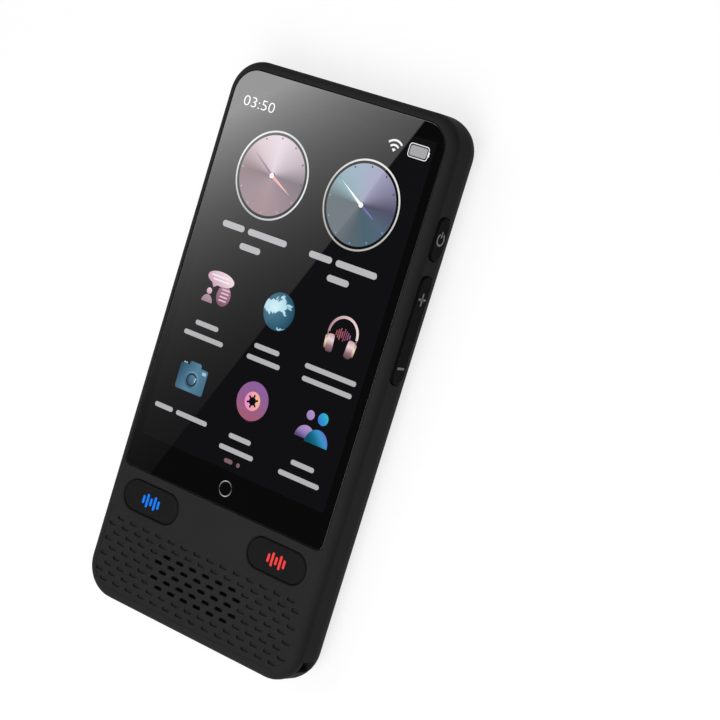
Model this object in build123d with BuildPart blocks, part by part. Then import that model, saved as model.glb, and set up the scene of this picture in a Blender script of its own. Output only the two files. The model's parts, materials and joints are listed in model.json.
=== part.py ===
from build123d import *

import math
import os

# A handheld voice translator lying on its back: +Z points out of the screen, +Y to the top edge
# and +X to the side with the keys. z = 0 is the plane of the rear rib crests. Millimetres.

# Outer shape
body_width = 65.0
body_length = 131.0
body_depth = 13.0
corner_radius = 8.1
front_edge_radius = 2.5
rear_edge_radius = 6.5
wall = 1.5
front_wall = 1.6
rear_wall = 1.8
inner_bevel = 3.2
parting_height = 4.5
reveal_height = 0.15
reveal_depth = 0.25
lip_clearance = 0.1
lip_thickness = 0.8
lip_height = 1.2
lip_root = 1.0

# Cover glass, display and mid frame, counted down from the front face
glass_side_margin = 2.3
glass_top_margin = 2.3
glass_talk_gap = 2.35
glass_top_radius = 6.0
glass_bottom_radius = 1.8
glass_thickness = 0.9
glass_inset = 0.05
glass_gap = 0.15
glass_bevel = 0.15
adhesive_thickness = 0.15
display_side_margin = 3.9
display_top_margin = 4.5
display_chin = 5.5
display_gap = 0.3
display_corner = 2.0
panel_thickness = 0.8
backlight_thickness = 0.8
ledge_thickness = 1.5
frame_thickness = 0.8
frame_gap = 0.4
frame_tail = 1.3
frame_screw_top_side = 10.5
frame_screw_low_side = 8.5
frame_screw_drop = 2.9

# Talk buttons
talk_width = 16.8
talk_height = 7.3
talk_from_side = 13.2
talk_from_bottom = 25.8
talk_gap = 0.15
talk_inset = 0.2
talk_edge = 0.3
talk_travel = 0.35
talk_flange = 0.6
talk_flange_thickness = 0.8
talk_flange_gap = 0.2
switch_size = 5.2
switch_height = 1.4
plunger_radius = 1.2
plunger_gap = 0.05
plunger_bore = 1.2
talk_board_drop = 3.0
talk_board_length = 10.0
talk_board_gap = 2.2
board_thickness = 0.8

# Grille
grille_top_gap = 2.2
grille_rows = 9
grille_row_pitch = 1.87
grille_side = 4.22
grille_long_row = 15
grille_open_rows = 5
grille_open_count = 6
slot_length = 2.4
slot_width = 0.87
slot_bevel = 0.28
dimple_depth = 0.45
panel_step = 0.1

# Side keys on the right edge
key_drop = 4.8
key_height = 4.6
key_corner = 2.1
key_proud = 0.35
key_gap = 0.15
key_travel = 0.3
key_inner_height = 3.8
key_flange_length = 0.7
key_flange_thickness = 0.5
key_flange_gap = 0.4
key_edge = 0.25
power_length = 9.6
power_from_top = 26.1
volume_length = 24.7
volume_from_top = 46.95
volume_mark_spacing = 14.4
nub_radius = 0.9
nub_gap = 0.05
pivot_radius = 0.5
pivot_gap = 0.08
dome_radius = 1.9
dome_height = 0.35
flex_thickness = 0.2
bracket_thickness = 0.4
bracket_height = 3.9
bracket_reach = 2.3
bracket_post = 1.2

# Left edge: card slot and pin hole
card_slot_length = 13.0
card_slot_height = 2.2
card_slot_from_top = 50.7
pin_hole_radius = 0.55
pin_hole_from_top = 73.2
pin_hole_drop = 0.4

# Bottom edge: charging socket and microphone
socket_width = 8.94
socket_height = 3.16
socket_depth = 7.3
socket_shell = 0.3
socket_gap = 0.17
socket_inset = 0.5
tongue_width = 6.7
tongue_thickness = 0.7
tongue_length = 4.5
mic_x = -12.0
mic_hole_radius = 0.5
mic_size = 3.5
mic_height = 1.1
boot_wall = 0.8

# Lanyard eye: a curved tunnel round a post in the lower right corner
eye_post_radius = 1.7
eye_tunnel_width = 3.0
eye_height = 4.5
eye_drop = 3.1
eye_wall = 1.2

# Rear cover: wave ribs
rib_pitch_top = 2.1
rib_pitch_bottom = 3.2
rib_depth = 0.35
rib_valley_width = 0.95
rib_axis_from_side = 10.3
rib_sway = 6.4
rib_sweep = 19.2
rib_straight_part = 0.078
rib_crest_part = 0.539
rib_fan_start = 0.157
rib_fan_end = 0.983
rib_first = -4
rib_last = 23
rib_end_margin = 3.5
rib_stations = 11
rib_wrap_angle = 66.0
rib_wrap_stations = 4
rib_field_side = 5.9

# Camera on the rear
camera_from_side = 20.65
camera_from_top = 20.65
window_width = 13.3
window_length = 26.7
window_radius = 4.5
window_lip = 0.9
plate_gap = 0.45
plate_inset = 0.1
plate_thickness = 1.2
plate_tape = 0.1
plate_bevel = 2.9
plate_ledge = 1.9
window_frame = 1.5
window_frame_height = 0.8
lens_from_top = 14.4
lens_hole_radius = 2.3
lens_glass_radius = 3.0
lens_glass_thickness = 0.5
lens_shoulder = 0.4
lens_hole_bevel = 0.2
barrel_radius = 3.2
barrel_mouth_radius = 2.2
barrel_mouth_depth = 0.7
foam_thickness = 0.3
foam_outer_radius = 3.8
lens_rise = 0.5
lens_rim_taper = 40.0
lens_crown_taper = 70.0
sensor_size = 8.6
sensor_thickness = 2.7

# Main board, seen from the front, is an L: a head across the top and an arm down the left side
main_board_thickness = 1.0
standoff_height = 1.9
standoff_radius = 1.7
board_corner = 3.0
board_top_gap = 2.5
board_head_length = 35.5
board_arm_length = 38.0
board_arm_width = 14.0
board_key_gap = 0.5
board_screw_edge = 4.0
board_screw_left = 4.5
board_screw_low = 3.0
shield_wall = 0.2
shield_height = 1.8
chip_height = 1.0
connector_height = 1.0
processor_can = (18.0, 16.0)
processor_size = (12.0, 12.0)
radio_can = (14.0, 8.0)
radio_size = (6.0, 5.0)
lead_plug = (6.0, 3.0)
flex_plug = (7.0, 2.2)
processor_from_camera = 19.35
processor_from_top = 11.5
radio_from_camera = 23.85
radio_from_top = 25.0
flex_plug_x = 9.2
flex_plugs_up = (10.0, 18.0)

# Card reader and reset switch hang from the rear of the board's arm
reader_length = 14.0
reader_width = 13.6
reader_height = 2.0
reader_wall = 0.3
reader_setback = 0.4
reset_size = 3.2
reset_height = 1.2
reset_setback = 0.4

# Battery
battery_thickness = 6.2
battery_edge = 1.2
battery_tape = 0.2
battery_side_gap = 1.0
battery_top_gap = 2.0
battery_key_gap = 1.5
battery_ribbon_gap = 1.2

# Speaker behind the grille
speaker_boss_gap = 1.5
speaker_length = 14.6
speaker_thickness = 2.4
speaker_wall = 1.2
mesh_thickness = 0.2
speaker_foam = 0.3
cone_gap = 0.6
cone_thickness = 0.3
magnet_radius = 5.0

# Socket board
usb_board_drop = 6.5
usb_board_side = 10.0
usb_board_length = 11.5
usb_board_gap = 1.2
usb_boss_end = 2.0
usb_boss_y = 5.5
usb_ribbon_inset = 4.3

# Small screws, all of one size
screw_radius = 0.7
screw_clearance = 0.03
screw_head_radius = 1.3
screw_head_height = 0.6
screw_hole_depth = 1.1
screw_boss_radius = 2.0
screw_sides = 8
boss_sides = 12
talk_boss_gap = 4.4

antenna_length = 26.0
antenna_height = 3.0
antenna_thickness = 0.2
ribbon_width = 6.0
ribbon_thickness = 0.15
ribbon_overlap = 2.0

# Places worked out from the sizes above
half_width = body_width / 2
half_length = body_length / 2
front_inner = body_depth - front_wall
glass_top = body_depth - glass_inset
glass_bottom = glass_top - glass_thickness
adhesive_bottom = glass_bottom - adhesive_thickness
display_bottom = glass_bottom - panel_thickness - backlight_thickness
frame_rear = display_bottom - frame_thickness
talk_y = -half_length + talk_from_bottom
talk_spacing = body_width - 2 * talk_from_side
talk_boss_x = talk_spacing / 2 - talk_width / 2 - talk_boss_gap
glass_width = body_width - 2 * glass_side_margin
glass_top_y = half_length - glass_top_margin
glass_low_y = talk_y + talk_height / 2 + glass_talk_gap
glass_length = glass_top_y - glass_low_y
glass_y = (glass_top_y + glass_low_y) / 2
display_width = body_width - 2 * display_side_margin
display_top_y = half_length - display_top_margin
display_low_y = glass_low_y + display_chin
display_length = display_top_y - display_low_y
display_y = (display_top_y + display_low_y) / 2
ledge_end_y = glass_low_y - 1.2
board_front = frame_rear - standoff_height
board_rear = board_front - main_board_thickness
talk_board_top = front_inner - talk_board_drop
talk_cap_top = body_depth - talk_inset
talk_flange_top = front_inner - talk_flange_gap
talk_flange_bottom = talk_flange_top - talk_flange_thickness
switch_top = talk_board_top + switch_height
plunger_low = switch_top - plunger_bore + talk_travel + plunger_gap
talk_board_y = talk_y - 0.2
panel_top_y = talk_y - talk_height / 2 - 0.85
grille_top_y = panel_top_y - grille_top_gap
grille_slot_pitch = (body_width - 2 * grille_side) / (grille_long_row - 1)
speaker_y = grille_top_y - grille_row_pitch * (grille_rows - 1) / 2
key_z = body_depth - key_drop
power_y = half_length - power_from_top
volume_y = half_length - volume_from_top
card_slot_y = half_length - card_slot_from_top
pin_hole_y = half_length - pin_hole_from_top
key_outer_x = half_width + key_proud
inner_x = half_width - wall
inner_y = half_length - wall
bracket_inner_x = inner_x - bracket_reach - bracket_thickness
usb_board_top = front_inner - usb_board_drop
usb_board_width = body_width - 2 * usb_board_side
usb_boss_x = usb_board_width / 2 - usb_boss_end
usb_ribbon_x = usb_ribbon_inset - talk_spacing / 2
speaker_width = 2 * (usb_boss_x - screw_boss_radius - speaker_boss_gap)
socket_z = usb_board_top + socket_height / 2
socket_front_y = -half_length + socket_inset
eye_x = half_width - corner_radius + corner_radius * math.cos(math.radians(45))
eye_y = -half_length + corner_radius - corner_radius * math.sin(math.radians(45))
eye_outer_radius = eye_post_radius + eye_tunnel_width
eye_low = body_depth - eye_drop - eye_height
rib_axis_x = -half_width + rib_axis_from_side
rib_field_half_width = half_width - rib_field_side
camera_x = -half_width + camera_from_side
camera_y = half_length - camera_from_top
lens_y = half_length - lens_from_top
plate_rear = plate_inset + plate_thickness
pocket_floor = plate_rear + plate_tape
barrel_front = plate_rear + foam_thickness
sensor_front = board_rear - sensor_thickness

os.makedirs("parts", exist_ok=True)


def save(piece, name):
    """Label a finished piece and write it under its own name."""
    piece.part.label = name
    export_step(piece.part, f"parts/{name}.step")


def glass_outline(grow):
    """The glass's outline, wider by grow on every side: rounder at the top than at the bottom."""
    with BuildSketch() as outline:
        with Locations((0, glass_y)):
            Rectangle(glass_width + 2 * grow, glass_length + 2 * grow)
        fillet(outline.vertices().group_by(Axis.Y)[-1], glass_top_radius + grow)
        fillet(outline.vertices().group_by(Axis.Y)[0], glass_bottom_radius + grow)
    return outline.sketch


def side_plane(x):
    """A plane facing +X, with the device's length to the right and its height up."""
    return Plane(origin=(x, 0, 0), x_dir=(0, 1, 0), z_dir=(1, 0, 0))


def end_plane(y):
    """A plane facing -Y, with the device's width to the right and its height up."""
    return Plane(origin=(0, y, 0), x_dir=(1, 0, 0), z_dir=(0, -1, 0))


def smooth_step(value):
    """Rises from 0 to 1 with level ends."""
    value = min(max(value, 0.0), 1.0)
    return value * value * (3 - 2 * value)


# Screw places
frame_screw_y = (display_top_y + display_gap + inner_y) / 2
frame_screw_low_y = display_low_y - frame_screw_drop
frame_screws_at = []
for side in (-1, 0, 1):
    frame_screws_at.append((side * (half_width - frame_screw_top_side), frame_screw_y))
    frame_screws_at.append((side * (half_width - frame_screw_low_side), frame_screw_low_y))
board_left_x = -inner_x + 0.8
board_right_x = bracket_inner_x - board_key_gap
board_top_y = inner_y - board_top_gap
board_head_low_y = board_top_y - board_head_length
board_arm_low_y = board_head_low_y - board_arm_length
board_screws_at = [
    (board_left_x + board_screw_left, board_top_y - board_screw_edge),
    (board_right_x - board_screw_edge, board_top_y - board_screw_edge),
    (board_right_x - board_screw_edge, board_head_low_y + board_screw_low),
    (board_left_x + board_arm_width - board_screw_low, board_arm_low_y + board_screw_low),
]
talk_screws_at = [(-talk_boss_x, talk_y), (talk_boss_x, talk_y)]
usb_screws_at = [(-usb_boss_x, -inner_y + usb_boss_y), (usb_boss_x, -inner_y + usb_boss_y)]

# Grille places: row 1 is the top row, even rows are the long ones
half_rows = (grille_rows - 1) // 2
open_slots = []
dimples = []
for row in range(grille_rows):
    count = grille_long_row - 1 if row % 2 == 0 else grille_long_row
    row_y = grille_top_y - row * grille_row_pitch
    in_open_rows = abs(row - half_rows) <= grille_open_rows // 2
    open_count = grille_open_count if row % 2 == 0 else grille_open_count + 1
    for column in range(count):
        step = column - (count - 1) / 2
        is_open = in_open_rows and abs(step) <= (open_count - 1) / 2
        target = open_slots if is_open else dimples
        target.append((step * grille_slot_pitch, row_y))

# The outer form and the room inside it, which both shells share
with BuildPart() as outer_form:
    with BuildSketch():
        RectangleRounded(body_width, body_length, corner_radius)
    extrude(amount=body_depth)
    fillet(outer_form.faces().sort_by(Axis.Z)[-1].edges(), front_edge_radius)
    fillet(outer_form.faces().sort_by(Axis.Z)[0].edges(), rear_edge_radius)

with BuildPart() as inner_room:
    with BuildSketch(Plane.XY.offset(rear_wall)):
        RectangleRounded(2 * inner_x, 2 * inner_y, corner_radius - wall)
    extrude(amount=display_bottom - rear_wall)
    chamfer(inner_room.faces().sort_by(Axis.Z)[0].edges(), inner_bevel)
    with BuildSketch(Plane.XY.offset(display_bottom)):
        RectangleRounded(2 * inner_x, 2 * inner_y, corner_radius - wall)
        with Locations((0, ledge_end_y)):
            Rectangle(body_width, body_length, align=(Align.CENTER, Align.MAX), mode=Mode.INTERSECT)
    extrude(amount=front_inner - display_bottom)

with BuildSketch() as slot_shape:
    Rectangle(slot_length, slot_width)
    chamfer(slot_shape.vertices(), slot_bevel)

# Front housing: bezel and side walls in one moulding
with BuildPart() as front_housing:
    add(outer_form.part)
    add(inner_room.part, mode=Mode.SUBTRACT)
    split(bisect_by=Plane.XY.offset(parting_height), keep=Keep.TOP)
    # straight rebate for the rear cover's lip
    with BuildSketch(Plane.XY.offset(parting_height)):
        RectangleRounded(2 * inner_x, 2 * inner_y, corner_radius - wall)
    extrude(amount=rear_edge_radius - parting_height + 0.5, mode=Mode.SUBTRACT)
    # solid corner round the lanyard eye
    with BuildSketch(Plane.XY.offset(parting_height)):
        RectangleRounded(2 * inner_x + wall, 2 * inner_y + wall, corner_radius - wall / 2)
        with Locations((eye_x, eye_y)):
            Circle(eye_outer_radius + eye_wall, mode=Mode.INTERSECT)
    extrude(amount=front_inner - parting_height)
    # screw bosses for the two small boards
    with BuildSketch(Plane.XY.offset(talk_board_top)):
        with Locations(*talk_screws_at):
            RegularPolygon(screw_boss_radius, boss_sides)
    extrude(amount=front_inner - talk_board_top)
    with BuildSketch(Plane.XY.offset(usb_board_top)):
        with Locations(*usb_screws_at):
            RegularPolygon(screw_boss_radius, boss_sides)
    extrude(amount=front_inner - usb_board_top)
    # posts that carry the side key bracket
    post_ends = (volume_y - volume_length / 2 - 3.0, power_y + power_length / 2 + 2.4)
    for post_y in post_ends:
        with BuildSketch(side_plane(inner_x - bracket_reach)):
            with Locations((post_y, key_z)):
                Rectangle(bracket_post, key_height + 0.4)
        extrude(amount=bracket_reach + wall / 2)
    # seat and opening of the screen
    with BuildSketch(Plane.XY.offset(body_depth)):
        add(glass_outline(glass_gap))
    extrude(amount=-(body_depth - adhesive_bottom), mode=Mode.SUBTRACT)
    with BuildSketch(Plane.XY.offset(body_depth)):
        with Locations((0, display_y)):
            RectangleRounded(
                display_width + 2 * display_gap,
                display_length + 2 * display_gap,
                display_corner + display_gap,
            )
    extrude(amount=-(body_depth - display_bottom), mode=Mode.SUBTRACT)
    # the grille panel lies a touch lower than the rest of the face
    with BuildSketch(Plane.XY.offset(body_depth)):
        RectangleRounded(
            body_width - 2 * front_edge_radius,
            body_length - 2 * front_edge_radius,
            corner_radius - front_edge_radius,
        )
        with Locations((0, panel_top_y)):
            Rectangle(body_width, body_length, align=(Align.CENTER, Align.MAX), mode=Mode.INTERSECT)
    extrude(amount=-panel_step, mode=Mode.SUBTRACT)
    # staggered grille: open slots over the speaker, blind dimples round them
    with BuildSketch(Plane.XY.offset(body_depth)):
        with Locations(*open_slots):
            add(slot_shape.sketch)
    extrude(amount=-front_wall, mode=Mode.SUBTRACT)
    with BuildSketch(Plane.XY.offset(body_depth)):
        with Locations(*dimples):
            add(slot_shape.sketch)
    extrude(amount=-(panel_step + dimple_depth), mode=Mode.SUBTRACT)
    # openings of the talk buttons
    with BuildSketch(Plane.XY.offset(body_depth)):
        with Locations((-talk_spacing / 2, talk_y), (talk_spacing / 2, talk_y)):
            SlotOverall(talk_width + 2 * talk_gap, talk_height + 2 * talk_gap)
    extrude(amount=-front_wall, mode=Mode.SUBTRACT)
    # openings of the side keys
    with BuildSketch(side_plane(half_width)):
        with Locations((power_y, key_z)):
            RectangleRounded(power_length + 2 * key_gap, key_height + 2 * key_gap, key_corner + key_gap)
        with Locations((volume_y, key_z)):
            RectangleRounded(volume_length + 2 * key_gap, key_height + 2 * key_gap, key_corner + key_gap)
    extrude(amount=-wall, mode=Mode.SUBTRACT)
    # card slot and pin hole in the left wall
    with BuildSketch(side_plane(-half_width)):
        with Locations((card_slot_y, board_rear)):
            Rectangle(card_slot_length, card_slot_height, align=(Align.CENTER, Align.MAX))
        with Locations((pin_hole_y, board_rear - pin_hole_drop)):
            RegularPolygon(pin_hole_radius, boss_sides)
    extrude(amount=wall, mode=Mode.SUBTRACT)
    # charging socket and microphone openings in the bottom wall
    with BuildSketch(end_plane(-half_length)):
        with Locations((0, socket_z)):
            SlotOverall(socket_width + 2 * socket_gap, socket_height + 2 * socket_gap)
        with Locations((mic_x, usb_board_top + mic_height / 2)):
            RegularPolygon(mic_hole_radius, boss_sides)
    extrude(amount=-wall, mode=Mode.SUBTRACT)
    # lanyard tunnel
    with BuildSketch(Plane.XY.offset(eye_low)):
        with Locations((eye_x, eye_y)):
            Circle(eye_outer_radius)
            Circle(eye_post_radius, mode=Mode.SUBTRACT)
    extrude(amount=eye_height, mode=Mode.SUBTRACT)
    # screw holes
    with BuildSketch(Plane.XY.offset(display_bottom)):
        with Locations(*frame_screws_at):
            RegularPolygon(screw_radius + screw_clearance, screw_sides)
    extrude(amount=screw_hole_depth, mode=Mode.SUBTRACT)
    with BuildSketch(Plane.XY.offset(talk_board_top)):
        with Locations(*talk_screws_at):
            RegularPolygon(screw_radius + screw_clearance, screw_sides)
    extrude(amount=2 * screw_hole_depth, mode=Mode.SUBTRACT)
    with BuildSketch(Plane.XY.offset(usb_board_top)):
        with Locations(*usb_screws_at):
            RegularPolygon(screw_radius + screw_clearance, screw_sides)
    extrude(amount=2 * screw_hole_depth, mode=Mode.SUBTRACT)
save(front_housing, "front_housing")


# Rear cover: the wave ribs are left standing between swept valleys, one path for each valley
rib_top_y = half_length - rear_edge_radius
rib_field_length = body_length - rear_edge_radius - rib_end_margin


def rib_point(rank, part):
    """A point on rib number rank, at a part of the way from the top of the field to its end."""
    if part < rib_crest_part:
        span = rib_crest_part - rib_straight_part
        drift = rib_sway * smooth_step((part - rib_straight_part) / span)
    else:
        drift = rib_sway - rib_sweep * ((part - rib_crest_part) / (1 - rib_crest_part)) ** 2
    fan = smooth_step((part - rib_fan_start) / (rib_fan_end - rib_fan_start))
    pitch = rib_pitch_top + (rib_pitch_bottom - rib_pitch_top) * fan
    return (rib_axis_x + drift + rank * pitch, rib_top_y - part * rib_field_length)


valley_profile = [
    (-rib_valley_width, -rib_depth),
    (0, rib_depth),
    (rib_valley_width, -rib_depth),
]


def valley_cutter(points):
    """A V-shaped bar along the points, its keel pointing into the back."""
    with BuildPart() as cutter:
        with BuildLine() as path:
            Polyline(*points)
        heading = path.line % 0
        across = Vector(0, 0, 1).cross(heading)
        with BuildSketch(Plane(origin=path.line @ 0, x_dir=across, z_dir=heading)):
            Polygon(*valley_profile, align=None)
        sweep(path=path.line, transition=Transition.RIGHT)
    return cutter.part


def in_rib_field(x, y):
    """True where the back is flat enough for ribs: short of the rounded sides and corners."""
    corner_start = half_length - corner_radius
    return abs(x) < rib_field_half_width and (abs(x) < half_width - corner_radius or abs(y) < corner_start)


back_valleys = []
top_valleys = []
for rank in range(rib_first - 1, rib_last + 1):
    parts_inside = [n / 240 for n in range(241) if in_rib_field(*rib_point(rank + 0.5, n / 240))]
    if not parts_inside:
        continue
    start = parts_inside[0]
    end = parts_inside[-1]
    count = max(2, round((end - start) * rib_stations))
    stations = [rib_point(rank + 0.5, start + (end - start) * n / count) for n in range(count + 1)]
    back_valleys.append(valley_cutter([(x, y, 0) for x, y in stations]))
    # the valley runs on over the rounded top edge
    if start == 0:
        valley_x = stations[0][0]
        wrap = [math.radians(rib_wrap_angle * n / rib_wrap_stations) for n in range(rib_wrap_stations + 1)]
        wrap_points = [
            (
                valley_x,
                rib_top_y + rear_edge_radius * math.sin(angle),
                rear_edge_radius - rear_edge_radius * math.cos(angle),
            )
            for angle in wrap
        ]
        top_valleys.append(valley_cutter([(valley_x, rib_top_y - 1, 0), *wrap_points]))

with BuildPart() as rear_cover:
    add(outer_form.part)
    add(inner_room.part, mode=Mode.SUBTRACT)
    split(bisect_by=Plane.XY.offset(parting_height), keep=Keep.BOTTOM)
    add(back_valleys, mode=Mode.SUBTRACT)
    add(top_valleys, mode=Mode.SUBTRACT)
    # lip that stands inside the housing's wall
    with BuildSketch(Plane.XY.offset(parting_height - lip_root)):
        RectangleRounded(
            2 * (inner_x - lip_clearance), 2 * (inner_y - lip_clearance), corner_radius - wall - lip_clearance
        )
        RectangleRounded(
            2 * (inner_x - lip_clearance - lip_thickness),
            2 * (inner_y - lip_clearance - lip_thickness),
            corner_radius - wall - lip_clearance - lip_thickness,
            mode=Mode.SUBTRACT,
        )
    extrude(amount=lip_root + lip_height)
    # shadow line along the joint
    with BuildSketch(Plane.XY.offset(parting_height - reveal_height)):
        RectangleRounded(body_width + 1, body_length + 1, corner_radius)
        parting_inset = rear_edge_radius - math.sqrt(
            rear_edge_radius**2 - (rear_edge_radius - parting_height) ** 2
        )
        reveal_inset = parting_inset + reveal_depth
        RectangleRounded(
            body_width - 2 * reveal_inset,
            body_length - 2 * reveal_inset,
            corner_radius - reveal_inset,
            mode=Mode.SUBTRACT,
        )
    extrude(amount=reveal_height, mode=Mode.SUBTRACT)
    # the lip makes room for the lanyard corner, the card slot, the socket and the microphone
    with BuildSketch(Plane.XY.offset(parting_height)):
        with Locations((eye_x, eye_y)):
            Circle(eye_outer_radius + eye_wall + lip_clearance)
        with Locations((-inner_x, card_slot_y)):
            Rectangle(4 * lip_thickness, reader_width + 1)
        with Locations((0, -inner_y)):
            Rectangle(socket_width + 1, 4 * lip_thickness)
        with Locations((mic_x, -inner_y)):
            Rectangle(mic_size + 2 * boot_wall + 1, 4 * lip_thickness)
    extrude(amount=lip_height, mode=Mode.SUBTRACT)
    # smooth lip round the camera window, frame behind it, pocket and window
    with BuildSketch():
        with Locations((camera_x, camera_y)):
            RectangleRounded(
                window_width + 2 * window_lip, window_length + 2 * window_lip, window_radius + window_lip
            )
    extrude(amount=rear_wall)
    with BuildSketch(Plane.XY.offset(rear_wall / 2)):
        with Locations((camera_x, camera_y)):
            RectangleRounded(
                window_width + 2 * window_frame, window_length + 2 * window_frame, window_radius + window_frame
            )
    extrude(amount=rear_wall / 2 + window_frame_height)
    with BuildSketch():
        with Locations((camera_x, camera_y)):
            RectangleRounded(window_width, window_length, window_radius)
    extrude(amount=pocket_floor, mode=Mode.SUBTRACT)
    with BuildSketch():
        with Locations((camera_x, camera_y)):
            RectangleRounded(
                window_width - 2 * plate_ledge, window_length - 2 * plate_ledge, window_radius - plate_ledge
            )
    extrude(amount=rear_wall + window_frame_height, mode=Mode.SUBTRACT)
save(rear_cover, "rear_cover")


def screw_set(places, seat, length):
    """Identical screws put in from the rear: heads against the seat height, shafts rising from it."""
    with BuildPart() as screws:
        with BuildSketch(Plane.XY.offset(seat - screw_head_height)):
            with Locations(*places):
                RegularPolygon(screw_head_radius, boss_sides)
        extrude(amount=screw_head_height)
        with BuildSketch(Plane.XY.offset(seat)):
            with Locations(*places):
                RegularPolygon(screw_radius, screw_sides)
        extrude(amount=length)
    return screws


def block(x_span, y_span, z_span):
    """A plain block between pairs of heights along each axis."""
    with BuildPart() as piece:
        with BuildSketch(Plane.XY.offset(z_span[0])):
            with Locations(((x_span[0] + x_span[1]) / 2, (y_span[0] + y_span[1]) / 2)):
                Rectangle(x_span[1] - x_span[0], y_span[1] - y_span[0])
        extrude(amount=z_span[1] - z_span[0])
    return piece


def ribbon(x_middle, width, points):
    """A folded flat cable: a strip of the given width along a stepped path of (y, z) points."""
    with BuildPart() as strip:
        with BuildSketch(Plane(origin=(x_middle - width / 2, 0, 0), x_dir=(0, 1, 0), z_dir=(1, 0, 0))):
            with BuildLine():
                Polyline(*points, close=True)
            make_face()
        extrude(amount=width)
    return strip


# Screen stack
with BuildPart() as cover_glass:
    with BuildSketch(Plane.XY.offset(glass_bottom)):
        add(glass_outline(0))
    extrude(amount=glass_thickness)
    chamfer(cover_glass.faces().sort_by(Axis.Z)[-1].edges(), glass_bevel)
save(cover_glass, "cover_glass")

with BuildPart() as glass_adhesive:
    with BuildSketch(Plane.XY.offset(adhesive_bottom)):
        add(glass_outline(0))
        with Locations((0, display_y)):
            RectangleRounded(
                display_width + 2 * display_gap,
                display_length + 2 * display_gap,
                display_corner + display_gap,
                mode=Mode.SUBTRACT,
            )
    extrude(amount=adhesive_thickness)
save(glass_adhesive, "glass_adhesive")


def display_layer(low, high):
    """One layer of the display, between two heights."""
    with BuildPart() as layer:
        with BuildSketch(Plane.XY.offset(low)):
            with Locations((0, display_y)):
                RectangleRounded(display_width, display_length, display_corner)
        extrude(amount=high - low)
    return layer


panel_rear = glass_bottom - panel_thickness
save(display_layer(panel_rear, glass_bottom), "display_panel")
save(display_layer(display_bottom, panel_rear), "backlight_unit")

# Mid frame: the metal plate under the display, with pressed standoffs for the main board
frame_low_y = ledge_end_y + frame_tail
with BuildPart() as mid_frame:
    with BuildSketch(Plane.XY.offset(frame_rear)):
        RectangleRounded(
            2 * (inner_x - frame_gap), 2 * (inner_y - frame_gap), corner_radius - wall - frame_gap
        )
        with Locations((0, frame_low_y)):
            Rectangle(body_width, body_length, align=(Align.CENTER, Align.MIN), mode=Mode.INTERSECT)
        with Locations((bracket_inner_x - board_key_gap, sum(post_ends) / 2)):
            Rectangle(
                body_width,
                post_ends[1] - post_ends[0] + bracket_post + 2 * frame_gap,
                align=(Align.MIN, Align.CENTER),
                mode=Mode.SUBTRACT,
            )
        with Locations((0, display_low_y)):
            Rectangle(ribbon_width + 1, 1.0, mode=Mode.SUBTRACT)
        with Locations(*frame_screws_at):
            RegularPolygon(screw_radius + screw_clearance, screw_sides, mode=Mode.SUBTRACT)
    extrude(amount=frame_thickness)
    with BuildSketch(Plane.XY.offset(board_front)):
        with Locations(*board_screws_at):
            RegularPolygon(standoff_radius, boss_sides)
    extrude(amount=standoff_height)
    with BuildSketch(Plane.XY.offset(board_front)):
        with Locations(*board_screws_at):
            RegularPolygon(screw_radius + screw_clearance, screw_sides)
    extrude(amount=standoff_height, mode=Mode.SUBTRACT)
save(mid_frame, "mid_frame")
save(screw_set(frame_screws_at, frame_rear, frame_thickness + screw_hole_depth - 0.1), "frame_screws")

# Main board
with BuildPart() as main_board:
    with BuildSketch(Plane.XY.offset(board_rear)) as board_outline:
        with Locations((board_left_x, board_top_y)):
            Rectangle(board_right_x - board_left_x, board_head_length, align=(Align.MIN, Align.MAX))
            Rectangle(board_arm_width, board_head_length + board_arm_length, align=(Align.MIN, Align.MAX))
        chamfer(board_outline.vertices().group_by(Axis.Y)[-1], board_corner)
        with Locations(*board_screws_at):
            RegularPolygon(screw_radius + screw_clearance, screw_sides, mode=Mode.SUBTRACT)
    extrude(amount=main_board_thickness)
save(main_board, "main_board")
save(screw_set(board_screws_at, board_rear, main_board_thickness + 1.5), "main_board_screws")


def shield_can(x, y, width, length):
    """A thin sheet metal can, open towards the board, with a bevelled rim."""
    with BuildPart() as can:
        with BuildSketch(Plane.XY.offset(board_rear - shield_height)):
            with Locations((x, y)):
                Rectangle(width, length)
        extrude(amount=shield_height)
        chamfer(can.faces().sort_by(Axis.Z)[0].edges(), shield_wall)
        with BuildSketch(Plane.XY.offset(board_rear)):
            with Locations((x, y)):
                Rectangle(width - 2 * shield_wall, length - 2 * shield_wall)
        extrude(amount=-(shield_height - shield_wall), mode=Mode.SUBTRACT)
    return can


def on_board(x, y, width, length, height):
    """A block standing on the rear face of the main board."""
    return block(
        (x - width / 2, x + width / 2), (y - length / 2, y + length / 2), (board_rear - height, board_rear)
    )


processor_x = camera_x + processor_from_camera
processor_y = board_top_y - processor_from_top
radio_x = camera_x + radio_from_camera
radio_y = board_top_y - radio_from_top
save(shield_can(processor_x, processor_y, *processor_can), "processor_shield")
save(on_board(processor_x, processor_y, *processor_size, chip_height), "processor_chip")
save(shield_can(radio_x, radio_y, *radio_can), "radio_shield")
save(on_board(radio_x, radio_y, *radio_size, chip_height), "radio_chip")

lead_x = 2.0
battery_top_y = board_head_low_y - battery_top_gap
flex_plugs_at = [(board_left_x + flex_plug_x, board_head_low_y + up) for up in flex_plugs_up]
connector_y = board_head_low_y + 3.0
with BuildPart() as board_connectors:
    with BuildSketch(Plane.XY.offset(board_rear - connector_height)):
        with Locations((lead_x, connector_y)):
            Rectangle(*lead_plug)
        with Locations(*flex_plugs_at):
            Rectangle(*flex_plug)
    extrude(amount=connector_height)
save(board_connectors, "board_connectors")

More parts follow.
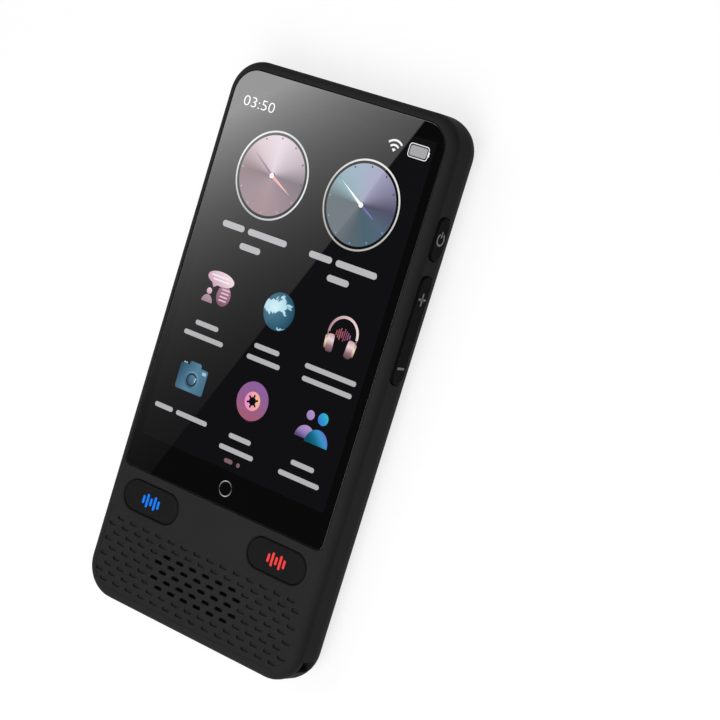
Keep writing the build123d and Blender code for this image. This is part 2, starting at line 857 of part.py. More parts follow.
# Card reader behind the slot in the left edge, and the switch behind the pin hole
reader_x = -inner_x + reader_setback
reader_z = board_rear - reader_height
with BuildPart() as card_reader:
    with BuildSketch(Plane.XY.offset(reader_z)):
        with Locations((reader_x, card_slot_y)):
            Rectangle(reader_length, reader_width, align=(Align.MIN, Align.CENTER))
    extrude(amount=reader_height)
    with BuildSketch(Plane.XY.offset(reader_z + reader_wall)):
        with Locations((reader_x, card_slot_y)):
            Rectangle(
                reader_length - 4 * reader_wall,
                reader_width - 4 * reader_wall,
                align=(Align.MIN, Align.CENTER),
            )
    extrude(amount=reader_height - 2 * reader_wall, mode=Mode.SUBTRACT)
save(card_reader, "card_reader")

reset_x = board_left_x + reset_setback + reset_size / 2
save(on_board(reset_x, pin_hole_y, reset_size, reset_size, reset_height), "reset_switch")

# Battery, taped to the mid frame
battery_front = frame_rear - battery_tape
battery_left_x = board_left_x + board_arm_width + battery_side_gap
battery_span_x = (battery_left_x, bracket_inner_x - battery_key_gap)
battery_span_y = (display_low_y + battery_ribbon_gap, battery_top_y)
battery_middle = (sum(battery_span_x) / 2, sum(battery_span_y) / 2)
with BuildPart() as battery:
    with BuildSketch(Plane.XY.offset(battery_front - battery_thickness)):
        with Locations(battery_middle):
            Rectangle(battery_span_x[1] - battery_span_x[0], battery_span_y[1] - battery_span_y[0])
    extrude(amount=battery_thickness)
    fillet(battery.edges().filter_by(Axis.Y), battery_edge)
save(battery, "battery")
tape_inset = 3.0
tape_span_x = (battery_span_x[0] + tape_inset, battery_span_x[1] - tape_inset)
tape_span_y = (battery_span_y[0] + tape_inset, battery_span_y[1] - tape_inset)
save(block(tape_span_x, tape_span_y, (battery_front, frame_rear)), "battery_tape")
lead_z = board_rear - connector_height / 2
lead_span_x = (lead_x - 2.0, lead_x + 2.0)
lead_span_y = (battery_top_y, connector_y - 1.5)
save(block(lead_span_x, lead_span_y, (lead_z - ribbon_thickness, lead_z)), "battery_lead")

# Camera, from the outside in
plate_width = window_width - 2 * plate_gap
plate_length = window_length - 2 * plate_gap
plate_radius = window_radius - plate_gap
lens_hole_top = plate_inset + lens_shoulder
with BuildPart() as camera_plate:
    with BuildSketch(Plane.XY.offset(plate_inset)):
        with Locations((camera_x, camera_y)):
            RectangleRounded(plate_width, plate_length, plate_radius)
    extrude(amount=plate_thickness)
    with BuildSketch(Plane.XY.offset(plate_inset)):
        with Locations((camera_x, lens_y)):
            Circle(lens_hole_radius)
    extrude(amount=plate_thickness, mode=Mode.SUBTRACT)
    with BuildSketch(Plane.XY.offset(lens_hole_top)):
        with Locations((camera_x, lens_y)):
            RegularPolygon(lens_glass_radius + screw_clearance, 2 * boss_sides)
    extrude(amount=plate_thickness, mode=Mode.SUBTRACT)
save(camera_plate, "camera_plate")

with BuildPart() as camera_plate_tape:
    with BuildSketch(Plane.XY.offset(plate_rear)) as tape_outline:
        with Locations((camera_x, camera_y)):
            Rectangle(plate_width, plate_length)
        chamfer(tape_outline.vertices(), plate_bevel)
        with BuildSketch(mode=Mode.SUBTRACT) as tape_window:
            with Locations((camera_x, camera_y)):
                Rectangle(window_width - 2 * plate_ledge, window_length - 2 * plate_ledge)
            chamfer(tape_window.vertices(), plate_bevel / 2)
    extrude(amount=plate_tape)
save(camera_plate_tape, "camera_plate_tape")


def lens_tube(outer, inner, low, high):
    """A ring on the lens axis between two heights; inner may be 0 for a plain disc."""
    with BuildPart() as tube:
        with BuildSketch(Plane.XY.offset(low)):
            with Locations((camera_x, lens_y)):
                RegularPolygon(outer, 2 * boss_sides)
                if inner > 0:
                    RegularPolygon(inner, 2 * boss_sides, mode=Mode.SUBTRACT)
        extrude(amount=high - low)
    return tube


save(lens_tube(lens_glass_radius, 0, lens_hole_top, lens_hole_top + lens_glass_thickness), "camera_window_glass")
save(lens_tube(foam_outer_radius, lens_hole_radius + 0.3, plate_rear, barrel_front), "camera_foam")

barrel_seat = barrel_front + barrel_mouth_depth
with BuildPart() as camera_barrel:
    with BuildSketch(Plane.XY.offset(barrel_front)):
        with Locations((camera_x, lens_y)):
            RegularPolygon(barrel_radius, 2 * boss_sides)
    extrude(amount=sensor_front - barrel_front)
    with BuildSketch(Plane.XY.offset(barrel_front)):
        with Locations((camera_x, lens_y)):
            Circle(barrel_mouth_radius)
    extrude(amount=barrel_mouth_depth, mode=Mode.SUBTRACT)
save(camera_barrel, "camera_barrel")

lens_radius = barrel_mouth_radius - screw_clearance
with BuildPart() as camera_lens:
    with BuildSketch(Plane.XY.offset(barrel_seat)):
        with Locations((camera_x, lens_y)):
            RegularPolygon(lens_radius, 2 * boss_sides)
    extrude(amount=-lens_rise / 2, taper=lens_rim_taper)
    extrude(camera_lens.faces().sort_by(Axis.Z)[0], amount=lens_rise / 2, taper=lens_crown_taper)
save(camera_lens, "camera_lens")

half_sensor = sensor_size / 2
camera_module_x = (camera_x - half_sensor, camera_x + half_sensor)
camera_module_y = (lens_y - half_sensor, lens_y + half_sensor)
save(block(camera_module_x, camera_module_y, (sensor_front, board_rear)), "camera_module")

# Talk buttons, their plungers and the push switches on the talk key board
for side, side_name in ((-1, "left"), (1, "right")):
    button_x = side * talk_spacing / 2
    with BuildPart() as talk_button:
        with BuildSketch(Plane.XY.offset(talk_flange_top)):
            with Locations((button_x, talk_y)):
                SlotOverall(talk_width, talk_height)
        extrude(amount=talk_cap_top - talk_flange_top)
        chamfer(talk_button.faces().sort_by(Axis.Z)[-1].edges(), talk_edge)
        with BuildSketch(Plane.XY.offset(talk_flange_bottom)):
            with Locations((button_x, talk_y)):
                Rectangle(talk_width + 2 * talk_flange, talk_height + 2 * talk_flange)
        extrude(amount=talk_flange_thickness)
    save(talk_button, f"{side_name}_talk_button")
    with BuildPart() as plunger:
        with Locations((button_x, talk_y, plunger_low)):
            Cylinder(
                plunger_radius,
                talk_flange_bottom - plunger_low,
                align=(Align.CENTER, Align.CENTER, Align.MIN),
            )
    save(plunger, f"{side_name}_talk_plunger")

with BuildPart() as talk_switches:
    with BuildSketch(Plane.XY.offset(talk_board_top)):
        with Locations((-talk_spacing / 2, talk_y), (talk_spacing / 2, talk_y)):
            Rectangle(switch_size, switch_size)
    extrude(amount=switch_height)
    with BuildSketch(Plane.XY.offset(switch_top)):
        with Locations((-talk_spacing / 2, talk_y), (talk_spacing / 2, talk_y)):
            Circle(plunger_radius + plunger_gap)
    extrude(amount=-plunger_bore, mode=Mode.SUBTRACT)
save(talk_switches, "talk_switches")

with BuildPart() as talk_key_board:
    with BuildSketch(Plane.XY.offset(talk_board_top - board_thickness)):
        with Locations((0, talk_board_y)):
            Rectangle(2 * (inner_x - talk_board_gap), talk_board_length)
        with Locations(*talk_screws_at):
            RegularPolygon(screw_radius + screw_clearance, screw_sides, mode=Mode.SUBTRACT)
    extrude(amount=board_thickness)
save(talk_key_board, "talk_key_board")

# Side keys on their bracket, with the key flex and its domes between
bracket_outer_x = bracket_inner_x + bracket_thickness
dome_x = bracket_outer_x + flex_thickness
dome_top_x = dome_x + dome_height
flange_inner_x = inner_x - key_flange_gap - key_flange_thickness
key_back_x = inner_x + key_travel + 2 * nub_gap
volume_marks_y = (volume_y - volume_mark_spacing / 2, volume_y + volume_mark_spacing / 2)


def side_key(middle_y, length, nubs_at):
    """A side key: cap in the wall opening, neck and flange inside, nubs that reach for the domes."""
    with BuildPart() as key:
        with BuildSketch(side_plane(key_back_x)):
            with Locations((middle_y, key_z)):
                RectangleRounded(length, key_height, key_corner)
        extrude(amount=key_outer_x - key_back_x)
        chamfer(key.faces().sort_by(Axis.X)[-1].edges(), key_edge)
        with BuildSketch(side_plane(flange_inner_x)):
            with Locations((middle_y, key_z)):
                Rectangle(length - 2 * key_corner, key_inner_height)
        extrude(amount=key_back_x - flange_inner_x)
        with BuildSketch(side_plane(flange_inner_x)):
            with Locations((middle_y, key_z)):
                Rectangle(length + 2 * key_flange_length, key_inner_height)
        extrude(amount=key_flange_thickness)
        nub_tip_x = dome_top_x + key_travel + nub_gap
        with BuildSketch(side_plane(nub_tip_x)):
            with Locations(*[(nub_y, key_z) for nub_y in nubs_at]):
                RegularPolygon(nub_radius, boss_sides)
        extrude(amount=flange_inner_x - nub_tip_x)
    return key


save(side_key(power_y, power_length, [power_y]), "power_button")

pivot_x = dome_x + pivot_gap + pivot_radius
with BuildPart() as volume_rocker:
    add(side_key(volume_y, volume_length, volume_marks_y).part)
    # rounded rib on which the rocker tips
    with Locations((pivot_x, volume_y, key_z)):
        Cylinder(pivot_radius, key_inner_height)
        Box(
            flange_inner_x - pivot_x,
            2 * pivot_radius,
            key_inner_height,
            align=(Align.MIN, Align.CENTER, Align.CENTER),
        )
save(volume_rocker, "volume_rocker")

half_post = bracket_post / 2
bracket_span_z = (key_z - bracket_height / 2, key_z + bracket_height / 2)
bracket_span_y = (post_ends[0] - half_post, post_ends[1] + half_post)
save(block((bracket_inner_x, bracket_outer_x), bracket_span_y, bracket_span_z), "side_key_bracket")
flex_span_y = (post_ends[0] + half_post + key_gap, post_ends[1] - half_post - key_gap)
save(block((bracket_outer_x, dome_x), flex_span_y, bracket_span_z), "side_key_flex")
with BuildPart() as side_key_domes:
    with BuildSketch(side_plane(dome_x)):
        with Locations(*[(dome_y, key_z) for dome_y in (power_y, *volume_marks_y)]):
            RegularPolygon(dome_radius, boss_sides)
    extrude(amount=dome_height, taper=45)
save(side_key_domes, "side_key_domes")

# Speaker, sealed against the inside of the grille
mesh_rear = front_inner - mesh_thickness
speaker_front = mesh_rear - speaker_foam
speaker_rear = speaker_front - speaker_thickness
cone_rear = speaker_front - cone_gap - cone_thickness
speaker_inner_width = speaker_width - 2 * speaker_wall
speaker_inner_length = speaker_length - 2 * speaker_wall
half_speaker = (speaker_width / 2, speaker_length / 2)
speaker_span_x = (-half_speaker[0], half_speaker[0])
speaker_span_y = (speaker_y - half_speaker[1], speaker_y + half_speaker[1])
save(block(speaker_span_x, speaker_span_y, (mesh_rear, front_inner)), "speaker_mesh")

with BuildPart() as speaker_foam_ring:
    with BuildSketch(Plane.XY.offset(speaker_front)):
        with Locations((0, speaker_y)):
            Rectangle(speaker_width, speaker_length)
            Rectangle(speaker_inner_width, speaker_inner_length, mode=Mode.SUBTRACT)
    extrude(amount=speaker_foam)
save(speaker_foam_ring, "speaker_foam")

with BuildPart() as speaker_frame:
    with BuildSketch(Plane.XY.offset(speaker_rear)):
        with Locations((0, speaker_y)):
            Rectangle(speaker_width, speaker_length)
    extrude(amount=speaker_thickness)
    with BuildSketch(Plane.XY.offset(cone_rear)):
        with Locations((0, speaker_y)):
            Rectangle(speaker_inner_width, speaker_inner_length)
    extrude(amount=speaker_front - cone_rear, mode=Mode.SUBTRACT)
    with BuildSketch(Plane.XY.offset(speaker_rear)):
        with Locations((0, speaker_y)):
            RegularPolygon(magnet_radius + screw_clearance, 2 * boss_sides)
    extrude(amount=speaker_thickness, mode=Mode.SUBTRACT)
save(speaker_frame, "speaker_frame")

cone_inset = 0.1
cone_span_x = (-half_speaker[0] + speaker_wall + cone_inset, half_speaker[0] - speaker_wall - cone_inset)
cone_span_y = (
    speaker_span_y[0] + speaker_wall + cone_inset,
    speaker_span_y[1] - speaker_wall - cone_inset,
)
save(block(cone_span_x, cone_span_y, (cone_rear, cone_rear + cone_thickness)), "speaker_cone")
with BuildPart() as speaker_magnet:
    with BuildSketch(Plane.XY.offset(speaker_rear)):
        with Locations((0, speaker_y)):
            RegularPolygon(magnet_radius, 2 * boss_sides)
    extrude(amount=cone_rear - speaker_rear - cone_inset)
save(speaker_magnet, "speaker_magnet")

# Charging socket, its board and the microphone
usb_board_rear = usb_board_top - board_thickness
usb_low_y = -inner_y + usb_board_gap
with BuildPart() as usb_board:
    with BuildSketch(Plane.XY.offset(usb_board_rear)):
        with Locations((0, usb_low_y)):
            Rectangle(usb_board_width, usb_board_length, align=(Align.CENTER, Align.MIN))
        with Locations(*usb_screws_at):
            RegularPolygon(screw_radius + screw_clearance, screw_sides, mode=Mode.SUBTRACT)
    extrude(amount=board_thickness)
save(usb_board, "usb_board")

with BuildPart() as small_board_screws:
    small_screw_length = board_thickness + 2 * screw_hole_depth - 0.2
    add(screw_set(talk_screws_at, talk_board_top - board_thickness, small_screw_length).part)
    add(screw_set(usb_screws_at, usb_board_rear, small_screw_length).part)
save(small_board_screws, "small_board_screws")

with BuildPart() as usb_c_shell:
    with BuildSketch(end_plane(socket_front_y + socket_depth)):
        with Locations((0, socket_z)):
            SlotOverall(socket_width, socket_height)
    extrude(amount=socket_depth)
    with BuildSketch(end_plane(socket_front_y)):
        with Locations((0, socket_z)):
            SlotOverall(socket_width - 2 * socket_shell, socket_height - 2 * socket_shell)
    extrude(amount=-(socket_depth - socket_shell), mode=Mode.SUBTRACT)
save(usb_c_shell, "usb_c_shell")
tongue_root_y = socket_front_y + socket_depth - socket_shell
tongue_span_x = (-tongue_width / 2, tongue_width / 2)
tongue_span_z = (socket_z - tongue_thickness / 2, socket_z + tongue_thickness / 2)
save(block(tongue_span_x, (tongue_root_y - tongue_length, tongue_root_y), tongue_span_z), "usb_c_tongue")

mic_front_y = usb_low_y + 0.2
mic_span_x = (mic_x - mic_size / 2, mic_x + mic_size / 2)
save(
    block(mic_span_x, (mic_front_y, mic_front_y + mic_size), (usb_board_top, usb_board_top + mic_height)),
    "microphone",
)
with BuildPart() as microphone_boot:
    with BuildSketch(end_plane(-inner_y)):
        with Locations((mic_x, usb_board_top)):
            Rectangle(
                mic_size + 2 * boot_wall, mic_height + boot_wall, align=(Align.CENTER, Align.MIN)
            )
        with Locations((mic_x, usb_board_top + mic_height / 2)):
            RegularPolygon(mic_hole_radius, boss_sides, mode=Mode.SUBTRACT)
    extrude(amount=-(mic_front_y + inner_y))
save(microphone_boot, "microphone_boot")

# Antenna inside the top wall and the flat cables between the boards
antenna_x = 8.0
antenna_low = lip_height + parting_height + lip_clearance
antenna_span_x = (antenna_x - antenna_length / 2, antenna_x + antenna_length / 2)
antenna_span_z = (antenna_low, antenna_low + antenna_height)
save(block(antenna_span_x, (inner_y - antenna_thickness, inner_y), antenna_span_z), "antenna_flex")

thin = ribbon_thickness
talk_board_edge_y = talk_board_y + talk_board_length / 2
display_ribbon_points = [
    (display_low_y, glass_bottom),
    (display_low_y, talk_board_top),
    (talk_board_edge_y - ribbon_overlap, talk_board_top),
    (talk_board_edge_y - ribbon_overlap, talk_board_top + thin),
    (display_low_y - thin, talk_board_top + thin),
    (display_low_y - thin, glass_bottom),
]
save(ribbon(0, ribbon_width, display_ribbon_points), "display_ribbon")

fold_y = talk_board_edge_y + 1.5
board_ribbon_points = [
    (board_arm_low_y + ribbon_overlap, board_front),
    (fold_y, board_front),
    (fold_y, talk_board_top),
    (talk_board_edge_y - ribbon_overlap, talk_board_top),
    (talk_board_edge_y - ribbon_overlap, talk_board_top + thin),
    (fold_y + thin, talk_board_top + thin),
    (fold_y + thin, board_front + thin),
    (board_arm_low_y + ribbon_overlap, board_front + thin),
]
board_ribbon_x = board_left_x + ribbon_width / 2 + 1.0
save(ribbon(board_ribbon_x, ribbon_width, board_ribbon_points), "board_ribbon")

talk_board_rear = talk_board_top - board_thickness
talk_board_low_y = talk_board_y - talk_board_length / 2
usb_board_edge_y = usb_low_y + usb_board_length
usb_fold_y = (talk_board_low_y + usb_board_edge_y) / 2
usb_ribbon_points = [
    (talk_board_low_y + ribbon_overlap, talk_board_rear),
    (usb_fold_y, talk_board_rear),
    (usb_fold_y, usb_board_top + thin),
    (usb_board_edge_y - ribbon_overlap, usb_board_top + thin),
    (usb_board_edge_y - ribbon_overlap, usb_board_top),
    (usb_fold_y + thin, usb_board_top),
    (usb_fold_y + thin, talk_board_rear - thin),
    (talk_board_low_y + ribbon_overlap, talk_board_rear - thin),
]
save(ribbon(usb_ribbon_x, ribbon_width, usb_ribbon_points), "usb_ribbon")
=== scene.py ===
import json
import math

import bpy
from bpy.props import FloatProperty, FloatVectorProperty, PointerProperty
from mathutils import Matrix, Vector


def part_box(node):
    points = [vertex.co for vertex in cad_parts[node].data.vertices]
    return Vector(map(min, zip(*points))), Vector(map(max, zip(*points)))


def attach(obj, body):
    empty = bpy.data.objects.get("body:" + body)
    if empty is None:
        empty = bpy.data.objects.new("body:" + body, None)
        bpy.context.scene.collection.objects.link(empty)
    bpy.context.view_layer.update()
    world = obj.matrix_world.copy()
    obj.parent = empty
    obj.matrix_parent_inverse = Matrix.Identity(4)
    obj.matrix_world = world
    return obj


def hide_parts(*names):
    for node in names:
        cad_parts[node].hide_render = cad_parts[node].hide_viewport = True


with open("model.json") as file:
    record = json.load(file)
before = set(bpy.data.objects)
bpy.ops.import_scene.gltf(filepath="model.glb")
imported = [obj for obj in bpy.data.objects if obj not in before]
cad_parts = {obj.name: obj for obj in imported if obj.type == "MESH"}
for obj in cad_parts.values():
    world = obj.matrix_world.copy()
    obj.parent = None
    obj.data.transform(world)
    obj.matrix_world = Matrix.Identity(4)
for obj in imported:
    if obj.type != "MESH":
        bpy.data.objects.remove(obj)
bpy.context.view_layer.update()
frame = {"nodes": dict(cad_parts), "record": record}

bl_info = {
    "name": "Handheld translator",
    "version": (1, 0, 0),
    "blender": (4, 5, 0),
    "location": "View3D > Sidebar > Translator",
    "description": "Builds the shells, screen, keys and camera of a handheld translator round its packed frame",
    "category": "Add Mesh",
}

MM = 0.001
NODES = frame["nodes"]


def linear(shade):
    """An sRGB hex colour as the linear RGBA that Blender's sockets take."""
    parts = [int(shade[start : start + 2], 16) / 255 for start in (0, 2, 4)]
    return (*[c / 12.92 if c <= 0.04045 else ((c + 0.055) / 1.055) ** 2.4 for c in parts], 1.0)


# Places in millimetres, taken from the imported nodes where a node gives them
def span(node):
    """Lowest corner, highest corner and middle of a CAD node, in millimetres."""
    low, high = ([v / MM for v in corner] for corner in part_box(node))
    return low, high, [(a + b) / 2 for a, b in zip(low, high)]


BODY_LOW, BODY_HIGH, _ = span("front_housing")
HALF_WIDTH, HALF_LENGTH, BODY_TOP = -BODY_LOW[0], BODY_HIGH[1], BODY_HIGH[2]
PARTING = BODY_LOW[2]
GLASS_LOW, GLASS_HIGH, GLASS_MIDDLE = span("cover_glass")
GLASS_TOP = GLASS_HIGH[2]
TALK_LOW, TALK_HIGH, (TALK_X, TALK_Y, _) = span("right_talk_button")
TALK_TOP = TALK_HIGH[2]
POWER_LOW, POWER_HIGH, (_, POWER_Y, KEY_Z) = span("power_button")
KEY_FACE = POWER_HIGH[0]
VOLUME_LOW, VOLUME_HIGH, (_, VOLUME_Y, _) = span("volume_rocker")
PLATE_LOW, _, (CAMERA_X, CAMERA_Y, _) = span("camera_plate")
PLATE_FACE = PLATE_LOW[2]
BARREL_LOW, BARREL_HIGH, (LENS_X, LENS_Y, BARREL_Z) = span("camera_barrel")
LENS_SEAT = span("camera_lens")[1][2]
TONGUE_LOW, TONGUE_HIGH, TONGUE_MIDDLE = span("usb_c_tongue")

# Body: corner radius seen from the front, and the radius from the back to the sides
BODY_CORNER = 8.1
BACK_EDGE = 6.5

# Camera window in the back
WINDOW_WIDTH = 13.3
WINDOW_LENGTH = 26.7
WINDOW_CORNER = 4.5

# Wave ribs: rank counts them from the left, part runs from the top of the field to its end
RIB_TOP = HALF_LENGTH - BACK_EDGE
RIB_FIELD = 121.0
RIB_AXIS = -22.2
FIRST_RANK = -8
RIB_COUNT = 36

# Touch ring in the glass
TOUCH_PLACE = (0.25, -29.52)


def length(name, description, default):
    """A length that a user may change; default in millimetres."""
    return FloatProperty(
        name=name, description=description, default=default * MM, unit="LENGTH", subtype="DISTANCE"
    )


def colour(name, description, default):
    """A colour that a user may change; default in hex."""
    return FloatVectorProperty(
        name=name, description=description, size=4, subtype="COLOR", default=linear(default)
    )


class TranslatorSizes(bpy.types.PropertyGroup):
    """Sizes that a user may change."""

    rib_depth: length("Rib depth", "Depth of the valleys between the wave ribs on the back", 0.35)
    rib_valley: length("Rib valley width", "Width of a valley at the surface of the back", 1.15)
    soft_edge: length("Moulded edge", "Radius on the sharp edges of the moulded shells", 0.12)
    key_edge: length("Key edge", "Radius on the edges of the talk buttons and side keys", 0.22)
    mark_height: length("Mark height", "How far the talk marks stand above their button", 0.03)
    ring_line: length("Ring line", "Width of the printed line round the lens", 0.32)
    talk_rim: length("Talk opening rim", "Radius of the rim round each talk button", 0.5)
    window_rim: length("Camera window rim", "Radius of the smooth rim round the camera window", 0.4)
    talk_dish: length("Talk button dish", "How far the middle of a talk button lies below its rim", 0.25)
    key_rim: length("Key opening rim", "Radius of the rim round each side key", 0.3)


class TranslatorColours(bpy.types.PropertyGroup):
    """Colours that a user may change."""

    body: colour("Body", "Moulded shells", "2a2a2b")
    keys: colour("Keys", "Side keys and talk buttons", "1c1c1d")
    left_mark: colour("Left mark", "Mark on the left talk button", "0683ff")
    right_mark: colour("Right mark", "Mark on the right talk button", "fb4444")
    side_mark: colour("Side marks", "Printed marks on the side keys", "8a8a8c")
    ring: colour("Lens ring", "Printed ring round the lens", "f2f2f2")
    floor: colour("Floor", "Pale studio floor", "8c8c8c")


def sizes():
    return bpy.context.scene.translator_sizes


def colours():
    return bpy.context.scene.translator_colours


# Small tools for shaping
def deselect():
    """Leave edit mode and select nothing."""
    if bpy.context.mode != "OBJECT":
        bpy.ops.object.mode_set(mode="OBJECT")
    bpy.ops.object.select_all(action="DESELECT")


def pick(*pieces):
    """Select these pieces alone; the first is the active one."""
    deselect()
    for piece in pieces:
        piece.select_set(True)
    bpy.context.view_layer.objects.active = pieces[0]
    return pieces[0]


def open_mesh(piece):
    """Edit a piece with the whole of its mesh selected."""
    pick(piece)
    bpy.ops.object.mode_set(mode="EDIT")
    bpy.ops.mesh.select_all(action="SELECT")


def choose(piece, kind, test):
    """In edit mode, select the faces or edges of a piece whose place passes the test."""
    bpy.ops.object.mode_set(mode="EDIT")
    bpy.ops.mesh.select_mode(type=kind)
    bpy.ops.mesh.select_all(action="DESELECT")
    bpy.ops.object.mode_set(mode="OBJECT")
    mesh = piece.data
    if kind == "FACE":
        for face in mesh.polygons:
            face.select = test(face.center / MM, face.normal)
    else:
        for edge in mesh.edges:
            edge.select = test(*[mesh.vertices[v].co / MM for v in edge.vertices])
    bpy.ops.object.mode_set(mode="EDIT")


def bevel(radius, steps):
    """Round the selected edges; radius in metres."""
    bpy.ops.mesh.bevel(offset=radius, segments=steps, profile=0.5, affect="EDGES")


def settle(piece):
    """Back to object mode, with place, turn and scale in the mesh."""
    pick(piece)
    bpy.ops.object.transform_apply(location=True, rotation=True, scale=True)
    return piece


def apply_all(piece):
    """Apply the piece's modifiers in order."""
    pick(piece)
    for modifier in list(piece.modifiers):
        bpy.ops.object.modifier_apply(modifier=modifier.name)
    return piece


def in_metres(values):
    return [v * MM for v in values]


def block(middle, size, corner=0.0, steps=8, axis=2, turn=0.0, name="block"):
    """A cuboid in millimetres whose four edges along one axis are rounded."""
    deselect()
    rotation = [0.0, 0.0, 0.0]
    rotation[axis] = turn
    bpy.ops.mesh.primitive_cube_add(
        size=1, location=in_metres(middle), rotation=rotation, scale=in_metres(size)
    )
    piece = pick(bpy.context.object)
    piece.name = name
    bpy.ops.object.transform_apply(location=False, rotation=False, scale=True)
    if corner > 0:
        others = [a for a in range(3) if a != axis]
        choose(piece, "EDGE", lambda a, b: all(abs(a[o] - b[o]) < 1e-4 for o in others))
        bevel(corner * MM, steps)
    return settle(piece)


def disc(middle, radius, height, sides=48, axis=2, name="disc"):
    """A round slab in millimetres, its axis along x, y or z."""
    deselect()
    rotation = [(0, math.pi / 2, 0), (math.pi / 2, 0, 0), (0, 0, 0)][axis]
    bpy.ops.mesh.primitive_cylinder_add(
        vertices=sides, radius=radius * MM, depth=height * MM, location=in_metres(middle), rotation=rotation
    )
    piece = bpy.context.object
    piece.name = name
    return settle(piece)


def hollow(piece, inset, axis=2):
    """Inset the two caps of a slab and bridge them, which leaves a ring."""
    choose(piece, "FACE", lambda place, normal: abs(normal[axis]) > 0.9)
    bpy.ops.mesh.inset(thickness=inset * MM, use_individual=True)
    bpy.ops.mesh.bridge_edge_loops()
    return settle(piece)


def join(name, pieces):
    """Several pieces made one, under a new name."""
    whole = pick(*pieces)
    if len(pieces) > 1:
        bpy.ops.object.join()
    whole.name = name
    whole.data.name = name
    return settle(whole)


def combine(piece, other, how):
    """Exact boolean of a piece with another, which is used up."""
    modifier = piece.modifiers.new("shape", "BOOLEAN")
    modifier.operation = how
    modifier.solver = "EXACT"
    modifier.object = other
    apply_all(piece)
    bpy.data.objects.remove(other)
    return piece


def smooth(piece, angle=30.0):
    """Smooth shading up to an angle, with large flat faces kept flat."""
    pick(piece)
    bpy.ops.object.shade_smooth_by_angle(angle=math.radians(angle), keep_sharp_edges=False)
    modifier = piece.modifiers.new("flats", "WEIGHTED_NORMAL")
    modifier.keep_sharp = True
    modifier.weight = 80
    return apply_all(piece)


def cut(piece, place, normal):
    """Cut a piece by a plane, close it, and drop the side that the normal points to; place in mm."""
    open_mesh(piece)
    bpy.ops.mesh.bisect(
        plane_co=in_metres(place), plane_no=normal, use_fill=True, clear_outer=True, threshold=1e-8
    )
    return settle(piece)


def round_edges(piece, radius, steps=2, angle=35.0):
    """Round a piece's hard edges; radius in metres."""
    modifier = piece.modifiers.new("edges", "BEVEL")
    modifier.width = radius
    modifier.segments = steps
    modifier.limit_method = "ANGLE"
    modifier.angle_limit = math.radians(angle)
    modifier.harden_normals = False
    return apply_all(piece)


def copy_of(node, name):
    """A copy of a CAD node with its loose triangles merged and its flat faces joined."""
    piece = bpy.data.objects.new(name, NODES[node].data.copy())
    bpy.context.scene.collection.objects.link(piece)
    pick(piece)
    bpy.ops.mesh.customdata_custom_splitnormals_clear()
    open_mesh(piece)
    bpy.ops.mesh.remove_doubles(threshold=0.0005 * MM)
    bpy.ops.mesh.dissolve_limited(angle_limit=math.radians(0.4))
    return settle(piece)


def finish_piece(piece, material, body, slot, *nodes):
    """Give a piece its material and body, and hide the CAD nodes that it stands for; slot is not used."""
    piece.data.materials.clear()
    piece.data.materials.append(material)
    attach(piece, body)
    if nodes:
        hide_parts(*nodes)


# Materials
def add_node(tree, kind, sockets=None, **settings):
    """Add one node: settings are its properties, sockets its values or the outputs that feed them."""
    node = tree.nodes.new(kind)
    for key, value in settings.items():
        setattr(node, key, value)
    for key, value in (sockets or {}).items():
        if isinstance(value, bpy.types.NodeSocket):
            tree.links.new(value, node.inputs[key])
        else:
            node.inputs[key].default_value = value
    return node


def blank(name):
    """A new material with an empty tree."""
    material = bpy.data.materials.new(name)
    material.use_nodes = True
    material.node_tree.nodes.clear()
    return material, material.node_tree


def darker(shade, factor):
    return (*[c * factor for c in shade[:3]], 1.0)


def wave_scale(pitch):
    """The scale that gives a pitch in mm, as the texture draws a wave every 2 pi / 20 units."""
    return 1 / (pitch * MM) / 20 * 2 * math.pi


def moulded(name, shade, grain, relief, roughness):
    """Moulded plastic: grain in mm is the tool texture's, relief in mm its height."""
    # the texture breaks up the gloss of flat plastic, so the IOR is set low
    material, tree = blank(name)
    spread, clouding, patch = 0.06, 0.12, 14
    place = add_node(tree, "ShaderNodeTexCoord").outputs["Object"]
    sockets = {"Vector": place, "Scale": 1 / (grain * MM), "Detail": 3.0, "Roughness": 0.6}
    spark = add_node(tree, "ShaderNodeTexNoise", sockets).outputs["Fac"]
    sockets = {"Vector": place, "Scale": 1 / (patch * MM), "Detail": 2.0}
    cloud = add_node(tree, "ShaderNodeTexNoise", sockets).outputs["Fac"]
    sockets = {"Factor": cloud, 6: darker(shade, 1 - clouding), 7: darker(shade, 1 + clouding)}
    tint = add_node(tree, "ShaderNodeMix", sockets, data_type="RGBA")
    sockets = {"Value": spark, "To Min": roughness - spread, "To Max": roughness + spread}
    gloss = add_node(tree, "ShaderNodeMapRange", sockets)
    bump = add_node(tree, "ShaderNodeBump", {"Height": spark, "Strength": 0.5, "Distance": relief * MM})
    sockets = {"Base Color": tint.outputs[2], "Roughness": gloss.outputs["Result"], "IOR": 1.08}
    shader = add_node(tree, "ShaderNodeBsdfPrincipled", {**sockets, "Normal": bump.outputs["Normal"]})
    add_node(tree, "ShaderNodeOutputMaterial", {"Surface": shader.outputs["BSDF"]})
    return material


